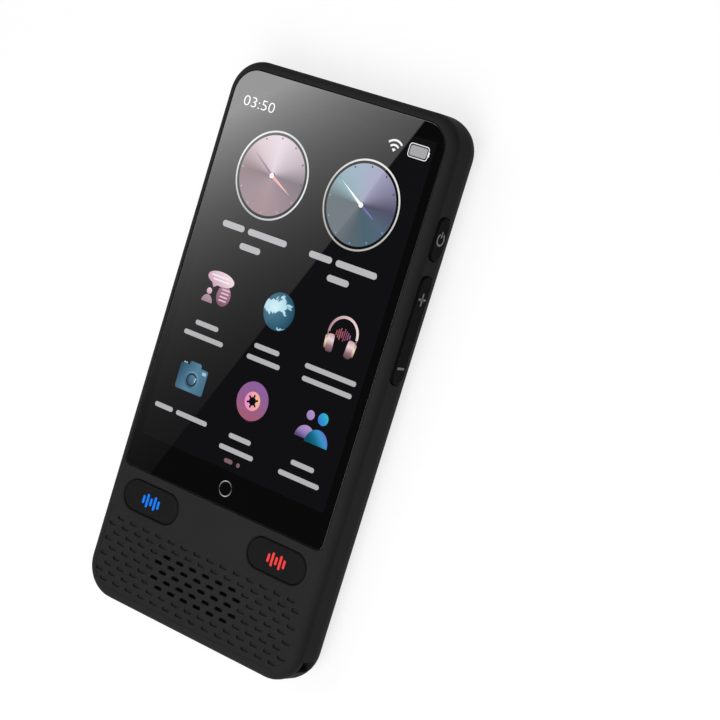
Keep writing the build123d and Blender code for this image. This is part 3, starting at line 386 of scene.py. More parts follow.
def black_backed_glass():
    """Toughened glass with a black print behind it: deep black, mirror gloss, faint wipe marks."""
    material, tree = blank("toughened_glass_black_backed")
    place = add_node(tree, "ShaderNodeTexCoord").outputs["Object"]
    sockets = {"Vector": place, "Scale": 1 / (9 * MM), "Detail": 4.0}
    wipe = add_node(tree, "ShaderNodeTexNoise", sockets).outputs["Fac"]
    gloss = add_node(tree, "ShaderNodeMapRange", {"Value": wipe, "To Min": 0.0, "To Max": 0.008})
    sockets = {"Factor": wipe, 6: linear("060607"), 7: linear("080809")}
    tint = add_node(tree, "ShaderNodeMix", sockets, data_type="RGBA")
    sockets = {"Base Color": tint.outputs[2], "Roughness": gloss.outputs["Result"], "IOR": 1.5}
    shader = add_node(tree, "ShaderNodeBsdfPrincipled", sockets)
    add_node(tree, "ShaderNodeOutputMaterial", {"Surface": shader.outputs["BSDF"]})
    return material


def lit_pixels(name, shades, start=(0, 0), end=(0, 50), run="LINEAR"):
    """Lit display behind glass, crossed by fine pixel rows.

    The shades run from start to end (mm) along a line, or with RADIAL round start: from the side away
    from end, anticlockwise.
    """
    material, tree = blank(name)
    place = add_node(tree, "ShaderNodeTexCoord").outputs["Object"]
    reach = math.dist(start, end)
    sockets = {
        "Vector": place,
        "Location": in_metres((*start, GLASS_TOP)),
        "Rotation": (0, 0, math.atan2(end[1] - start[1], end[0] - start[0])),
        "Scale": in_metres((reach, reach, reach)),
    }
    laid = add_node(tree, "ShaderNodeMapping", sockets, vector_type="TEXTURE").outputs["Vector"]
    along = add_node(tree, "ShaderNodeTexGradient", {"Vector": laid}, gradient_type=run).outputs["Fac"]
    if isinstance(shades[0], str):
        shades = [(index / max(len(shades) - 1, 1), shade) for index, shade in enumerate(shades)]
    ramp = add_node(tree, "ShaderNodeValToRGB", {"Fac": along})
    set_stops(ramp, [(position, linear(shade)) for position, shade in shades])
    return lit_through_glass(material, tree, place, ramp.outputs["Color"])


def set_stops(ramp, stops):
    """The colours that a ramp runs through."""
    elements = ramp.color_ramp.elements
    while len(elements) < len(stops):
        elements.new(0.5)
    for element, (position, shade) in zip(elements, stops):
        element.position = position
        element.color = shade


def lit_through_glass(material, tree, place, shade):
    """End a display material: rows over the shade, and the glass in front of it."""
    # pixels are about 0.09 mm, too fine to show, so the rows are drawn 0.3 mm apart
    sockets = {"Vector": place, "Scale": wave_scale(0.3), "Distortion": 0.0}
    rows = add_node(tree, "ShaderNodeTexWave", sockets, bands_direction="Y")
    dim = add_node(tree, "ShaderNodeMapRange", {"Value": rows.outputs["Fac"], "To Min": 0.93, "To Max": 1.0})
    lit = add_node(tree, "ShaderNodeVectorMath", {0: shade, "Scale": dim.outputs["Result"]}, operation="SCALE")
    sockets = {"Base Color": linear("050506"), "Roughness": 0.004, "IOR": 1.5}
    glow = {"Emission Color": lit.outputs["Vector"], "Emission Strength": 1.0}
    shader = add_node(tree, "ShaderNodeBsdfPrincipled", {**sockets, **glow})
    add_node(tree, "ShaderNodeOutputMaterial", {"Surface": shader.outputs["BSDF"]})
    return material


def lit_globe(middle, radius):
    """Lit picture of a globe: shaded teal sea under pale patches of land."""
    material, tree = blank("lcd_globe")
    place = add_node(tree, "ShaderNodeTexCoord").outputs["Object"]
    # light falls from the upper left, so the shading centres there
    sockets = {
        "Vector": place,
        "Location": in_metres((middle[0] - 0.3 * radius, middle[1] + 0.1 * radius, GLASS_TOP)),
        "Scale": [1.5 * radius * MM] * 3,
    }
    ball = add_node(tree, "ShaderNodeMapping", sockets, vector_type="TEXTURE").outputs["Vector"]
    shaded = add_node(tree, "ShaderNodeTexGradient", {"Vector": ball}, gradient_type="SPHERICAL").outputs["Fac"]
    sockets = {"Factor": shaded, 6: linear("123f56"), 7: linear("4d7f95")}
    sea = add_node(tree, "ShaderNodeMix", sockets, data_type="RGBA").outputs[2]
    sockets = {"Factor": shaded, 6: linear("8fc9df"), 7: linear("d5f3fb")}
    land = add_node(tree, "ShaderNodeMix", sockets, data_type="RGBA").outputs[2]
    # the shift brings a large patch of land to the middle
    drift = add_node(tree, "ShaderNodeMapping", {"Vector": place, "Location": (0.0071, -0.0032, 0.0)})
    sockets = {"Vector": drift.outputs["Vector"], "Scale": 1 / (4.2 * MM), "Detail": 5.0}
    coast = add_node(tree, "ShaderNodeTexNoise", {**sockets, "Roughness": 0.55, "Distortion": 0.4})
    sockets = {"Value": coast.outputs["Fac"], "From Min": 0.545, "From Max": 0.56}
    shore = add_node(tree, "ShaderNodeMapRange", sockets).outputs["Result"]
    shade = add_node(tree, "ShaderNodeMix", {"Factor": shore, 6: sea, 7: land}, data_type="RGBA")
    return lit_through_glass(material, tree, place, shade.outputs[2])


def printed_ink(name, shade):
    """Pad-printed ink: flat colour with slightly uneven cover and a satin face."""
    material, tree = blank(name)
    place = add_node(tree, "ShaderNodeTexCoord").outputs["Object"]
    sockets = {"Vector": place, "Scale": 1 / (0.4 * MM), "Detail": 3.0}
    cover = add_node(tree, "ShaderNodeTexNoise", sockets).outputs["Fac"]
    sockets = {"Factor": cover, 6: darker(shade, 0.93), 7: darker(shade, 1.04)}
    tint = add_node(tree, "ShaderNodeMix", sockets, data_type="RGBA")
    gloss = add_node(tree, "ShaderNodeMapRange", {"Value": cover, "To Min": 0.42, "To Max": 0.55})
    sockets = {"Base Color": tint.outputs[2], "Roughness": gloss.outputs["Result"]}
    shader = add_node(
        tree, "ShaderNodeBsdfPrincipled", {**sockets, "IOR": 1.48, "Specular IOR Level": 0.1}
    )
    add_node(tree, "ShaderNodeOutputMaterial", {"Surface": shader.outputs["BSDF"]})
    return material


def metal(name, shade, roughness, grain, stretch=(1.0, 12.0, 1.0)):
    """Bare metal: stretch draws the grain out along the direction of rolling or turning."""
    material, tree = blank(name)
    place = add_node(tree, "ShaderNodeTexCoord").outputs["Object"]
    drawn = add_node(tree, "ShaderNodeMapping", {"Vector": place, "Scale": stretch})
    sockets = {"Vector": drawn.outputs["Vector"], "Scale": 1 / (grain * MM), "Detail": 4.0}
    lines = add_node(tree, "ShaderNodeTexNoise", sockets).outputs["Fac"]
    sockets = {"Value": lines, "To Min": roughness * 0.75, "To Max": roughness * 1.3}
    gloss = add_node(tree, "ShaderNodeMapRange", sockets)
    bump = add_node(tree, "ShaderNodeBump", {"Height": lines, "Strength": 0.25, "Distance": 0.01 * MM})
    sockets = {"Base Color": linear(shade), "Metallic": 1.0, "Roughness": gloss.outputs["Result"]}
    shader = add_node(tree, "ShaderNodeBsdfPrincipled", {**sockets, "Normal": bump.outputs["Normal"]})
    add_node(tree, "ShaderNodeOutputMaterial", {"Surface": shader.outputs["BSDF"]})
    return material


def striped(name, base, lines, pitch, share, roughness, direction="X", metallic=0.0):
    """A film or board with lines of another colour, pitch mm apart and share of it wide."""
    material, tree = blank(name)
    place = add_node(tree, "ShaderNodeTexCoord").outputs["Object"]
    sockets = {"Vector": place, "Scale": wave_scale(pitch), "Distortion": 0.0}
    wave = add_node(tree, "ShaderNodeTexWave", sockets, bands_direction=direction)
    edge = 1 - share
    sockets = {"Value": wave.outputs["Fac"], "From Min": edge - 0.05, "From Max": edge + 0.05}
    lane = add_node(tree, "ShaderNodeMapRange", sockets).outputs["Result"]
    sockets = {"Factor": lane, 6: linear(base), 7: linear(lines)}
    tint = add_node(tree, "ShaderNodeMix", sockets, data_type="RGBA")
    bump = add_node(tree, "ShaderNodeBump", {"Height": lane, "Strength": 0.4, "Distance": 0.02 * MM})
    sockets = {"Base Color": tint.outputs[2], "Metallic": metallic, "Roughness": roughness}
    shader = add_node(tree, "ShaderNodeBsdfPrincipled", {**sockets, "Normal": bump.outputs["Normal"]})
    add_node(tree, "ShaderNodeOutputMaterial", {"Surface": shader.outputs["BSDF"]})
    return material


def foam(name, shade, pore):
    """Closed-cell foam or rubber: dull, with pores of the given size in mm, which are painted darker as painted
    shade.
    """
    material, tree = blank(name)
    shade = linear(shade)
    place = add_node(tree, "ShaderNodeTexCoord").outputs["Object"]
    cells = add_node(tree, "ShaderNodeTexVoronoi", {"Vector": place, "Scale": 1 / (pore * MM)})
    depth = cells.outputs["Distance"]
    # painted shade: the pores, where the bump sinks in, are painted darker
    sockets = {"Factor": depth, 6: darker(shade, 0.6), 7: shade}
    tint = add_node(tree, "ShaderNodeMix", sockets, data_type="RGBA")
    bump = add_node(tree, "ShaderNodeBump", {"Height": depth, "Strength": 0.6, "Distance": 0.05 * MM})
    sockets = {"Base Color": tint.outputs[2], "Roughness": 0.9, "Normal": bump.outputs["Normal"]}
    shader = add_node(tree, "ShaderNodeBsdfPrincipled", sockets)
    add_node(tree, "ShaderNodeOutputMaterial", {"Surface": shader.outputs["BSDF"]})
    return material


def woven_mesh():
    """Woven steel dust mesh blackened by dyeing: square holes 0.35 mm apart between dark wires, the holes
    painted near black as painted shade.
    """
    material, tree = blank("blackened_steel_woven_mesh")
    place = add_node(tree, "ShaderNodeTexCoord").outputs["Object"]
    sockets = {"Vector": place, "Scale": wave_scale(0.35), "Distortion": 0.0}
    across, along = (
        add_node(tree, "ShaderNodeTexWave", sockets, bands_direction=way).outputs["Fac"] for way in "XY"
    )
    wires = add_node(tree, "ShaderNodeMath", {0: across, 1: along}, operation="MAXIMUM").outputs[0]
    # painted shade: the holes, where only the dark space behind the mesh shows, are painted near black
    sockets = {"Factor": wires, 6: linear("030303"), 7: linear("2c2c2e")}
    tint = add_node(tree, "ShaderNodeMix", sockets, data_type="RGBA")
    bump = add_node(tree, "ShaderNodeBump", {"Height": wires, "Strength": 0.7, "Distance": 0.08 * MM})
    sockets = {"Base Color": tint.outputs[2], "Metallic": 0.6, "Roughness": 0.5}
    shader = add_node(tree, "ShaderNodeBsdfPrincipled", {**sockets, "Normal": bump.outputs["Normal"]})
    add_node(tree, "ShaderNodeOutputMaterial", {"Surface": shader.outputs["BSDF"]})
    return material


def coated_lens():
    """Moulded lens with an anti-reflection coat: near black, with a painted blue and a painted violet
    reflection on either side.
    """
    material, tree = blank("coated_lens_glass")
    place = add_node(tree, "ShaderNodeTexCoord").outputs["Object"]
    sockets = {"Vector": place, "Location": (LENS_X * MM, LENS_Y * MM, 0), "Scale": (2.2 * MM, 2.2 * MM, 1)}
    laid = add_node(tree, "ShaderNodeMapping", sockets, vector_type="TEXTURE").outputs["Vector"]
    flat = add_node(tree, "ShaderNodeVectorMath", {0: laid, 1: (1, 1, 0)}, operation="MULTIPLY")
    sockets = {"Vector": flat.outputs["Vector"]}
    inward, turning = (
        add_node(tree, "ShaderNodeTexGradient", sockets, gradient_type=run).outputs["Fac"]
        for run in ("SPHERICAL", "RADIAL")
    )
    # painted reflection in the base colour: a bright halo round the middle, tinted blue and violet on either
    # side
    painted_halo_levels = ((0, 0.02), (0.2, 0.12), (0.45, 0.55), (0.65, 1.0), (0.85, 0.6), (1, 0.05))
    ring = add_node(tree, "ShaderNodeValToRGB", {"Fac": inward})
    set_stops(ring, [(position, (level, level, level, 1)) for position, level in painted_halo_levels])
    shades = ((0, "1c309c"), (0.12, "141c66"), (0.3, "a09cff"), (0.45, "1a2488"), (0.65, "182478"))
    shades += ((0.82, "9ad6ff"), (1, "1c309c"))
    painted_sheen = add_node(tree, "ShaderNodeValToRGB", {"Fac": turning})
    set_stops(painted_sheen, [(position, linear(shade)) for position, shade in shades])
    sockets = {0: painted_sheen.outputs["Color"], 1: ring.outputs["Color"]}
    tint = add_node(tree, "ShaderNodeVectorMath", sockets, operation="MULTIPLY")
    sockets = {"Base Color": tint.outputs["Vector"], "Roughness": 0.05, "IOR": 1.6}
    sockets.update({"Specular IOR Level": 0.1, "Specular Tint": linear("9aa4ff")})
    shader = add_node(tree, "ShaderNodeBsdfPrincipled", sockets)
    add_node(tree, "ShaderNodeOutputMaterial", {"Surface": shader.outputs["BSDF"]})
    return material


def clear_window():
    """Polished clear glass with a coat against reflections, which a low IOR stands for."""
    material, tree = blank("polished_window_glass")
    place = add_node(tree, "ShaderNodeTexCoord").outputs["Object"]
    haze = add_node(tree, "ShaderNodeTexNoise", {"Vector": place, "Scale": 1 / (2 * MM), "Detail": 3.0})
    sockets = {"Value": haze.outputs["Fac"], "To Min": 0.0, "To Max": 0.03}
    gloss = add_node(tree, "ShaderNodeMapRange", sockets)
    sockets = {"Base Color": linear("f4f6ff"), "Roughness": gloss.outputs["Result"], "IOR": 1.1}
    shader = add_node(tree, "ShaderNodeBsdfPrincipled", {**sockets, "Transmission Weight": 1.0})
    add_node(tree, "ShaderNodeOutputMaterial", {"Surface": shader.outputs["BSDF"]})
    return material


class TRANSLATOR_OT_inner_parts(bpy.types.Operator):
    """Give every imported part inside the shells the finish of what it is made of"""

    bl_idname = "translator.inner_parts"
    bl_label = "Inner parts"

    def execute(self, context):
        body, keys = colours().body, colours().keys
        finishes = {
            # polycarbonate, textured by spark erosion: a fine even matt
            "housing_plastic": moulded("polycarbonate_spark_textured", body, 0.16, 0.012, 0.6),
            "cover_plastic": moulded("polycarbonate_satin_moulded", body, 0.16, 0.010, 0.55),
            # toughened glass printed black behind
            "screen_glass": black_backed_glass(),
            # polycarbonate caps with a finer matt than the shells
            "button_plastic": moulded("polycarbonate_fine_matt_buttons", keys, 0.1, 0.006, 0.55),
            "key_plastic": moulded("polycarbonate_fine_matt_keys", darker(keys, 0.35), 0.1, 0.006, 0.55),
            # acrylic sheet, a shade paler than the back round it
            "plate_plastic": moulded("acrylic_sheet_grey_matt", linear("303031"), 0.12, 0.005, 0.5),
            # clear window, coated against reflections
            "lens_glass": clear_window(),
            # light guide and film stack with faint pixel rows
            "display_layer": striped("display_stack_film", "0c0c10", "16161c", 0.3, 0.3, 0.25, "Y"),
            # fibreglass board under green mask: copper tracks show as paler lines
            "circuit_board": striped("fibreglass_board_green_mask", "0d4a2c", "1d6b41", 0.9, 0.35, 0.35),
            # cast epoxy over the chips: dull black
            "chip_resin": moulded("epoxy_chip_resin", linear("1a1a1b"), 0.08, 0.004, 0.6),
            # rolled steel: grey gloss with a grain along the rolling
            "plain_steel": metal("rolled_stainless_steel", "b9babd", 0.28, 0.25),
            # die-cast magnesium: paler and duller, with an even grain
            "frame_alloy": metal("die_cast_magnesium", "a9abae", 0.45, 0.4, stretch=(1, 1, 1)),
            # laminated pouch foil: satin silver with a drawn grain
            "battery_pouch": metal("laminated_pouch_foil", "9c9ea3", 0.4, 0.8, stretch=(1, 4, 1)),
            # die-cut foam tape: dull black with open pores at its cut faces
            "tape_foam": foam("closed_cell_foam_black", "1f1f20", 0.25),
            # polyimide film: amber with copper lines under it
            "flex_film": striped(
                "polyimide_flex_copper_lines", "8a4a12", "b8742c", 0.5, 0.5, 0.35, metallic=0.2
            ),
            # glass-filled nylon: dark grey with a coarse matt
            "switch_resin": moulded("glass_filled_nylon", linear("2c2c2e"), 0.15, 0.01, 0.6),
        }
        special = {
            "camera_lens": coated_lens(),
            # black barrel that swallows stray light
            "camera_barrel": moulded("polycarbonate_black_barrel", linear("08080a"), 0.08, 0.004, 0.6),
            "speaker_mesh": woven_mesh(),
            # pressed paper pulp: dull and fibrous
            "speaker_cone": foam("pulp_speaker_cone", "29292b", 0.4),
            # liquid crystal polymer: smooth black under the contacts
            "usb_c_tongue": moulded("liquid_crystal_polymer_tongue", linear("1b1b1c"), 0.1, 0.004, 0.45),
            # plated can: pale gold gloss
            "microphone": metal("plated_microphone_can", "cbb681", 0.3, 0.2),
        }
        slots = {part["node"]: part["material_slot"] for part in frame["record"]["subparts"]}
        for node, thing in NODES.items():
            for slot in thing.material_slots:
                slot.material = special.get(node) or finishes[slots[node]]
        return {"FINISHED"}


def part_material(node):
    """The finish that a CAD node was given."""
    return NODES[node].material_slots[0].material


class TRANSLATOR_OT_front_housing(bpy.types.Operator):
    """Front housing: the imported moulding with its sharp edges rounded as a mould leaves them"""

    bl_idname = "translator.front_housing"
    bl_label = "Front housing"

    def rim(self, piece, radius, near):
        """Round over the rim of an opening, whose edges are near it at both ends."""
        choose(piece, "EDGE", lambda a, b: near(a) and near(b))
        bevel(radius, 4)
        bpy.ops.object.mode_set(mode="OBJECT")

    def execute(self, context):
        piece = copy_of("front_housing", "front_housing_moulding")
        reach_x, reach_y = ((TALK_HIGH[a] - TALK_LOW[a]) / 2 + 0.5 for a in (0, 1))
        for side in (-1, 1):
            self.rim(
                piece,
                sizes().talk_rim,
                lambda end: abs(end.z - BODY_TOP) < 2e-3
                and abs(end.x - side * TALK_X) < reach_x
                and abs(end.y - TALK_Y) < reach_y,
            )
        for low, high in ((POWER_LOW, POWER_HIGH), (VOLUME_LOW, VOLUME_HIGH)):
            self.rim(
                piece,
                sizes().key_rim,
                lambda end: abs(end.x - HALF_WIDTH) < 2e-3
                and low[1] - 0.5 < end.y < high[1] + 0.5
                and low[2] - 0.4 < end.z < high[2] + 0.4,
            )
        round_edges(piece, sizes().soft_edge)
        smooth(piece)
        finish_piece(piece, part_material("front_housing"), "handset", "housing_plastic", "front_housing")
        return {"FINISHED"}


def smooth_step(value):
    """From 0 to 1 with a soft start and end."""
    value = min(max(value, 0.0), 1.0)
    return value * value * (3 - 2 * value)


def rib_x(rank, part):
    """Where rib number rank lies across the back at a part of the way down, and the ribs' pitch there."""
    turning = 0.539
    if part < turning:
        drift = 6.4 * smooth_step((part - 0.078) / 0.461)
    else:
        drift = 6.4 - 19.2 * ((part - turning) / 0.461) ** 2
    pitch = 2.1 + 1.1 * smooth_step((part - 0.157) / 0.826)
    return RIB_AXIS + drift + rank * pitch, pitch


def window_gap(x, y):
    """How far a point of the back lies outside the rim of the camera window."""
    beside = max(abs(x - CAMERA_X) - WINDOW_WIDTH / 2 + WINDOW_CORNER, 0)
    beyond = max(abs(y - CAMERA_Y) - WINDOW_LENGTH / 2 + WINDOW_CORNER, 0)
    return math.hypot(beside, beyond) - WINDOW_CORNER


def rib_fade(x, y):
    """How deep the valleys are at a point of the back, from 0 to 1: they run out before its rims."""
    fade = smooth_step((HALF_WIDTH - 4.0 - abs(x)) / 3.0)
    corner_x = max(abs(x) - (HALF_WIDTH - BODY_CORNER), 0)
    corner_y = max(abs(y) - (HALF_LENGTH - BODY_CORNER), 0)
    if corner_x * corner_y > 0:
        fade *= smooth_step((BODY_CORNER - math.hypot(corner_x, corner_y)) / 2.5)
    if y > RIB_TOP:
        fade *= smooth_step((0.955 - (y - RIB_TOP) / BACK_EDGE) / 0.1)
    return fade * smooth_step((window_gap(x, y) - 1.0) / 1.8)


class TRANSLATOR_OT_rear_cover(bpy.types.Operator):
    """Rear cover: rounded tray, wave ribs cut by a rippled block, lip round the camera window"""

    bl_idname = "translator.rear_cover"
    bl_label = "Rear cover"

    def rounded_tray(self):
        """The outer form, up to the shadow line under the joint."""
        depth = 13.0
        tray = block((0, 0, depth / 2), (2 * HALF_WIDTH, 2 * HALF_LENGTH, depth), BODY_CORNER, steps=14)
        choose(tray, "EDGE", lambda a, b: a.z < 1e-4 and b.z < 1e-4)
        bevel(BACK_EDGE * MM, 12)
        return cut(settle(tray), (0, 0, PARTING - 0.15), (0, 0, 1))

    def rippled_block(self):
        """A block whose lower face carries the valleys, to be laid over the tray."""
        rows = [-67.0 + 1.2 * step for step in range(105)] + [RIB_TOP]
        rows += [RIB_TOP + BACK_EDGE * math.sin(math.radians(5 * step)) for step in range(1, 19)]
        rows = [round(y, 5) for y in rows] + [RIB_TOP + 7.5]
        columns = 10 * RIB_COUNT
        lines = len(rows) - 1
        deselect()
        bpy.ops.mesh.primitive_grid_add(x_subdivisions=columns, y_subdivisions=lines, size=1)
        ripple = bpy.context.object
        valley = sizes().rib_valley / MM / 2
        depth = sizes().rib_depth / MM
        # columns crowd round the valleys so that their sides stay smooth
        shifts = (0.0, 0.06, 0.12, 0.18, 0.26, 0.5, 0.74, 0.82, 0.88, 0.94)
        for vertex in ripple.data.vertices:
            column = round((vertex.co.x + 0.5) * columns)
            y = rows[round((vertex.co.y + 0.5) * lines)]
            rank = FIRST_RANK + column // 10 + shifts[column % 10] + 0.5
            x, pitch = rib_x(rank, (RIB_TOP - y) / RIB_FIELD)
            offset = abs(rank - 0.5 - round(rank - 0.5)) * pitch
            groove = math.cos(math.pi / 2 * min(offset / valley, 1.0)) ** 2
            # over the rounded top end the valleys follow the curve
            rise, tilt = 0.0, 1.0
            if y > RIB_TOP:
                sine = min((y - RIB_TOP) / BACK_EDGE, 1.0)
                tilt = max(math.sqrt(1 - sine * sine), 0.28)
                rise = BACK_EDGE - BACK_EDGE * math.sqrt(1 - sine * sine)
            fade = rib_fade(x, y)
            # between valleys the block stays 0.03 mm clear of the back
            z = rise + (depth * groove * fade - 0.03 * (1 - min(groove * fade * 3, 1))) / tilt
            vertex.co = Vector((x, y, z)) * MM
        open_mesh(ripple)
        top = 12 * MM
        bpy.ops.mesh.extrude_region_move(TRANSFORM_OT_translate={"value": (0, 0, top)})
        bpy.ops.transform.resize(value=(1, 1, 0), center_override=(0, 0, top))
        bpy.ops.mesh.select_all(action="SELECT")
        bpy.ops.mesh.normals_make_consistent(inside=False)
        return settle(ripple)

    def window(self, grow, low, high):
        """A rounded block on the camera window's middle, grown by a margin."""
        size = (WINDOW_WIDTH + 2 * grow, WINDOW_LENGTH + 2 * grow, high - low)
        return block((CAMERA_X, CAMERA_Y, (low + high) / 2), size, WINDOW_CORNER + grow, steps=10)

    def on_rim(self, end):
        """Whether a point lies on the rim of the camera window, on the outer face."""
        return abs(end.z) < 1e-3 and abs(window_gap(end.x, end.y)) < 0.01

    def execute(self, context):
        cover = self.rounded_tray()
        combine(cover, self.rippled_block(), "INTERSECT")
        room = block((0, 0, 6.8), (62, 128, 10), 6.6)
        choose(room, "EDGE", lambda a, b: a.z < 1.9 and b.z < 1.9)
        bevel(3.2 * MM, 3)
        combine(cover, settle(room), "DIFFERENCE")
        lip = hollow(block((0, 0, PARTING), (61.8, 127.8, 2.4), 6.5, steps=10), 0.8)
        # the lip makes way for the lanyard post, the card reader and the socket
        combine(lip, disc((30.13, -63.13, 6.0), 6.0, 3.0), "DIFFERENCE")
        for middle, size in (((-31, 14.8, 5.6), (4, 14.6, 2.2)), ((-5.5, -64, 5.6), (22, 4, 2.2))):
            combine(lip, block(middle, size), "DIFFERENCE")
        combine(cover, lip, "UNION")
        # ring under the joint: its outer face is the floor of the shadow line
        inset = 0.315 + 0.25
        size = (65 - 2 * inset, 131 - 2 * inset, 0.7)
        ring = hollow(block((0, 0, PARTING - 0.35), size, BODY_CORNER - inset, steps=14), 0.9)
        combine(cover, ring, "UNION")
        # camera window: a lip inside, the seat of the plate, then the way through for the camera
        combine(cover, self.window(1.5, 1.0, 2.6), "UNION")
        combine(cover, self.window(0, -1.0, 1.4), "DIFFERENCE")
        combine(cover, self.window(-1.9, -1.0, 3.5), "DIFFERENCE")
        choose(cover, "EDGE", lambda a, b: self.on_rim(a) and self.on_rim(b))
        bevel(sizes().window_rim, 4)
        open_mesh(cover)
        bpy.ops.mesh.remove_doubles(threshold=0.002 * MM)
        settle(cover).name = "rear_cover_ribbed"
        smooth(cover, 28)
        finish_piece(cover, part_material("rear_cover"), "handset", "cover_plastic", "rear_cover")
        return {"FINISHED"}


class TRANSLATOR_OT_cover_glass(bpy.types.Operator):
    """Cover glass: polished plate with rounder upper corners, a softened rim and the touch ring"""

    bl_idname = "translator.cover_glass"
    bl_label = "Cover glass"

    def execute(self, context):
        size = [high - low for low, high in zip(GLASS_LOW, GLASS_HIGH)]
        glass = block(GLASS_MIDDLE, size, name="cover_glass_plate")
        for corner, upper in ((6.0, True), (1.8, False)):
            choose(
                glass,
                "EDGE",
                lambda a, b: abs(a.x - b.x) + abs(a.y - b.y) < 1e-4
                and (a.y > GLASS_MIDDLE[1]) == upper
                and abs(a.x) > GLASS_HIGH[0] - 0.05,
            )
            bevel(corner * MM, 14)
            bpy.ops.object.mode_set(mode="OBJECT")
        choose(glass, "EDGE", lambda a, b: a.z > GLASS_TOP - 1e-4 and b.z > GLASS_TOP - 1e-4)
        bevel(0.16 * MM, 4)
        smooth(settle(glass))
        finish_piece(glass, part_material("cover_glass"), "handset", "screen_glass", "cover_glass")
        ring = hollow(disc((*TOUCH_PLACE, GLASS_TOP), 1.86, 0.03, name="touch_ring"), 0.21)
        # painted reflection: the ring glows in light and dark shades round its middle, in place of the
        # reflections on a silver ring
        glow = [(0, "cfcfd1"), (0.12, "8c8c8e"), (0.25, "1e1e20"), (0.4, "8e8e90"), (0.5, "cacacc")]
        glow += [(0.62, "8a8a8c"), (0.75, "2a2a2c"), (0.9, "a0a0a2"), (1, "cfcfd1")]
        lit = lit_pixels("touch_ring_painted_reflection", glow, TOUCH_PLACE, (-0.4, -27.47), "RADIAL")
        finish_piece(ring, lit, "handset", "screen_glass")
        return {"FINISHED"}


# Lit shapes on the screen; places and sizes in millimetres
def sheet_height(layer):
    """Middle and thickness of a picture layer, which stands a hundredth of a mm above the last."""
    top = GLASS_TOP + 0.01 * layer
    low = GLASS_TOP - 0.02
    return (top + low) / 2, top - low


def bar(x, y, width, height, layer, corner=None, turn=0.0):
    """A lit shape with rounded corners; corner None is a full round."""
    z, thick = sheet_height(layer)
    if corner is None:
        corner = min(width, height) / 2 * 0.98
    return block((x, y, z), (width, height, thick), corner, steps=5, turn=math.radians(turn))


def dot(x, y, radius, layer, sides=40):
    z, thick = sheet_height(layer)
    return disc((x, y, z), radius, thick, sides)


def oval(x, y, width, height, layer, turn=0.0):
    z, thick = sheet_height(layer)
    deselect()
    bpy.ops.mesh.primitive_cylinder_add(
        vertices=40,
        radius=0.5,
        depth=1,
        location=in_metres((x, y, z)),
        rotation=(0, 0, math.radians(turn)),
        scale=in_metres((width, height, thick)),
    )
    return settle(bpy.context.object)


def loop(x, y, radius, line, layer, sides=48):
    return hollow(dot(x, y, radius, layer, sides), line)


def above(piece, y):
    """The part of a lit shape above a line across the screen, closed along the cut."""
    return cut(piece, (0, y, 0), (0, -1, 0))


def hand(x, y, tip_x, tip_y, root, layer):
    """A clock hand that tapers from the middle of a dial to its tip."""
    z, thick = sheet_height(layer)
    reach = math.dist((x, y), (tip_x, tip_y))
    deselect()
    bpy.ops.mesh.primitive_cube_add(
        size=1,
        location=in_metres(((x + tip_x) / 2, (y + tip_y) / 2, z)),
        rotation=(0, 0, math.atan2(tip_y - y, tip_x - x)),
        scale=in_metres((reach, root, thick)),
    )
    needle = pick(bpy.context.object)
    bpy.ops.object.transform_apply(location=False, rotation=False, scale=True)
    choose(needle, "EDGE", lambda a, b: a.x > 0 and b.x > 0 and abs(a.z - b.z) < 1e-5)
    bpy.ops.mesh.merge(type="COLLAPSE")
    return settle(needle)


def digits(text, left, right, low, high, layer):
    """Thin figures scaled to fill a box."""
    deselect()
    bpy.ops.object.text_add()
    text_data = bpy.context.object.data
    text_data.body = text
    text_data.offset = -0.012
    text_data.extrude = 0.02
    bpy.ops.object.convert(target="MESH")
    figures = bpy.context.object
    xs = [v.co.x for v in figures.data.vertices]
    ys = [v.co.y for v in figures.data.vertices]
    z, thick = sheet_height(layer)
    wide = (right - left) / (max(xs) - min(xs))
    tall = (high - low) / (max(ys) - min(ys))
    figures.scale = in_metres((wide, tall, thick / 0.04))
    figures.location = in_metres((left - min(xs) * wide, low - min(ys) * tall, z))
    open_mesh(settle(figures))
    bpy.ops.mesh.remove_doubles(threshold=0.0001 * MM)
    return settle(figures)


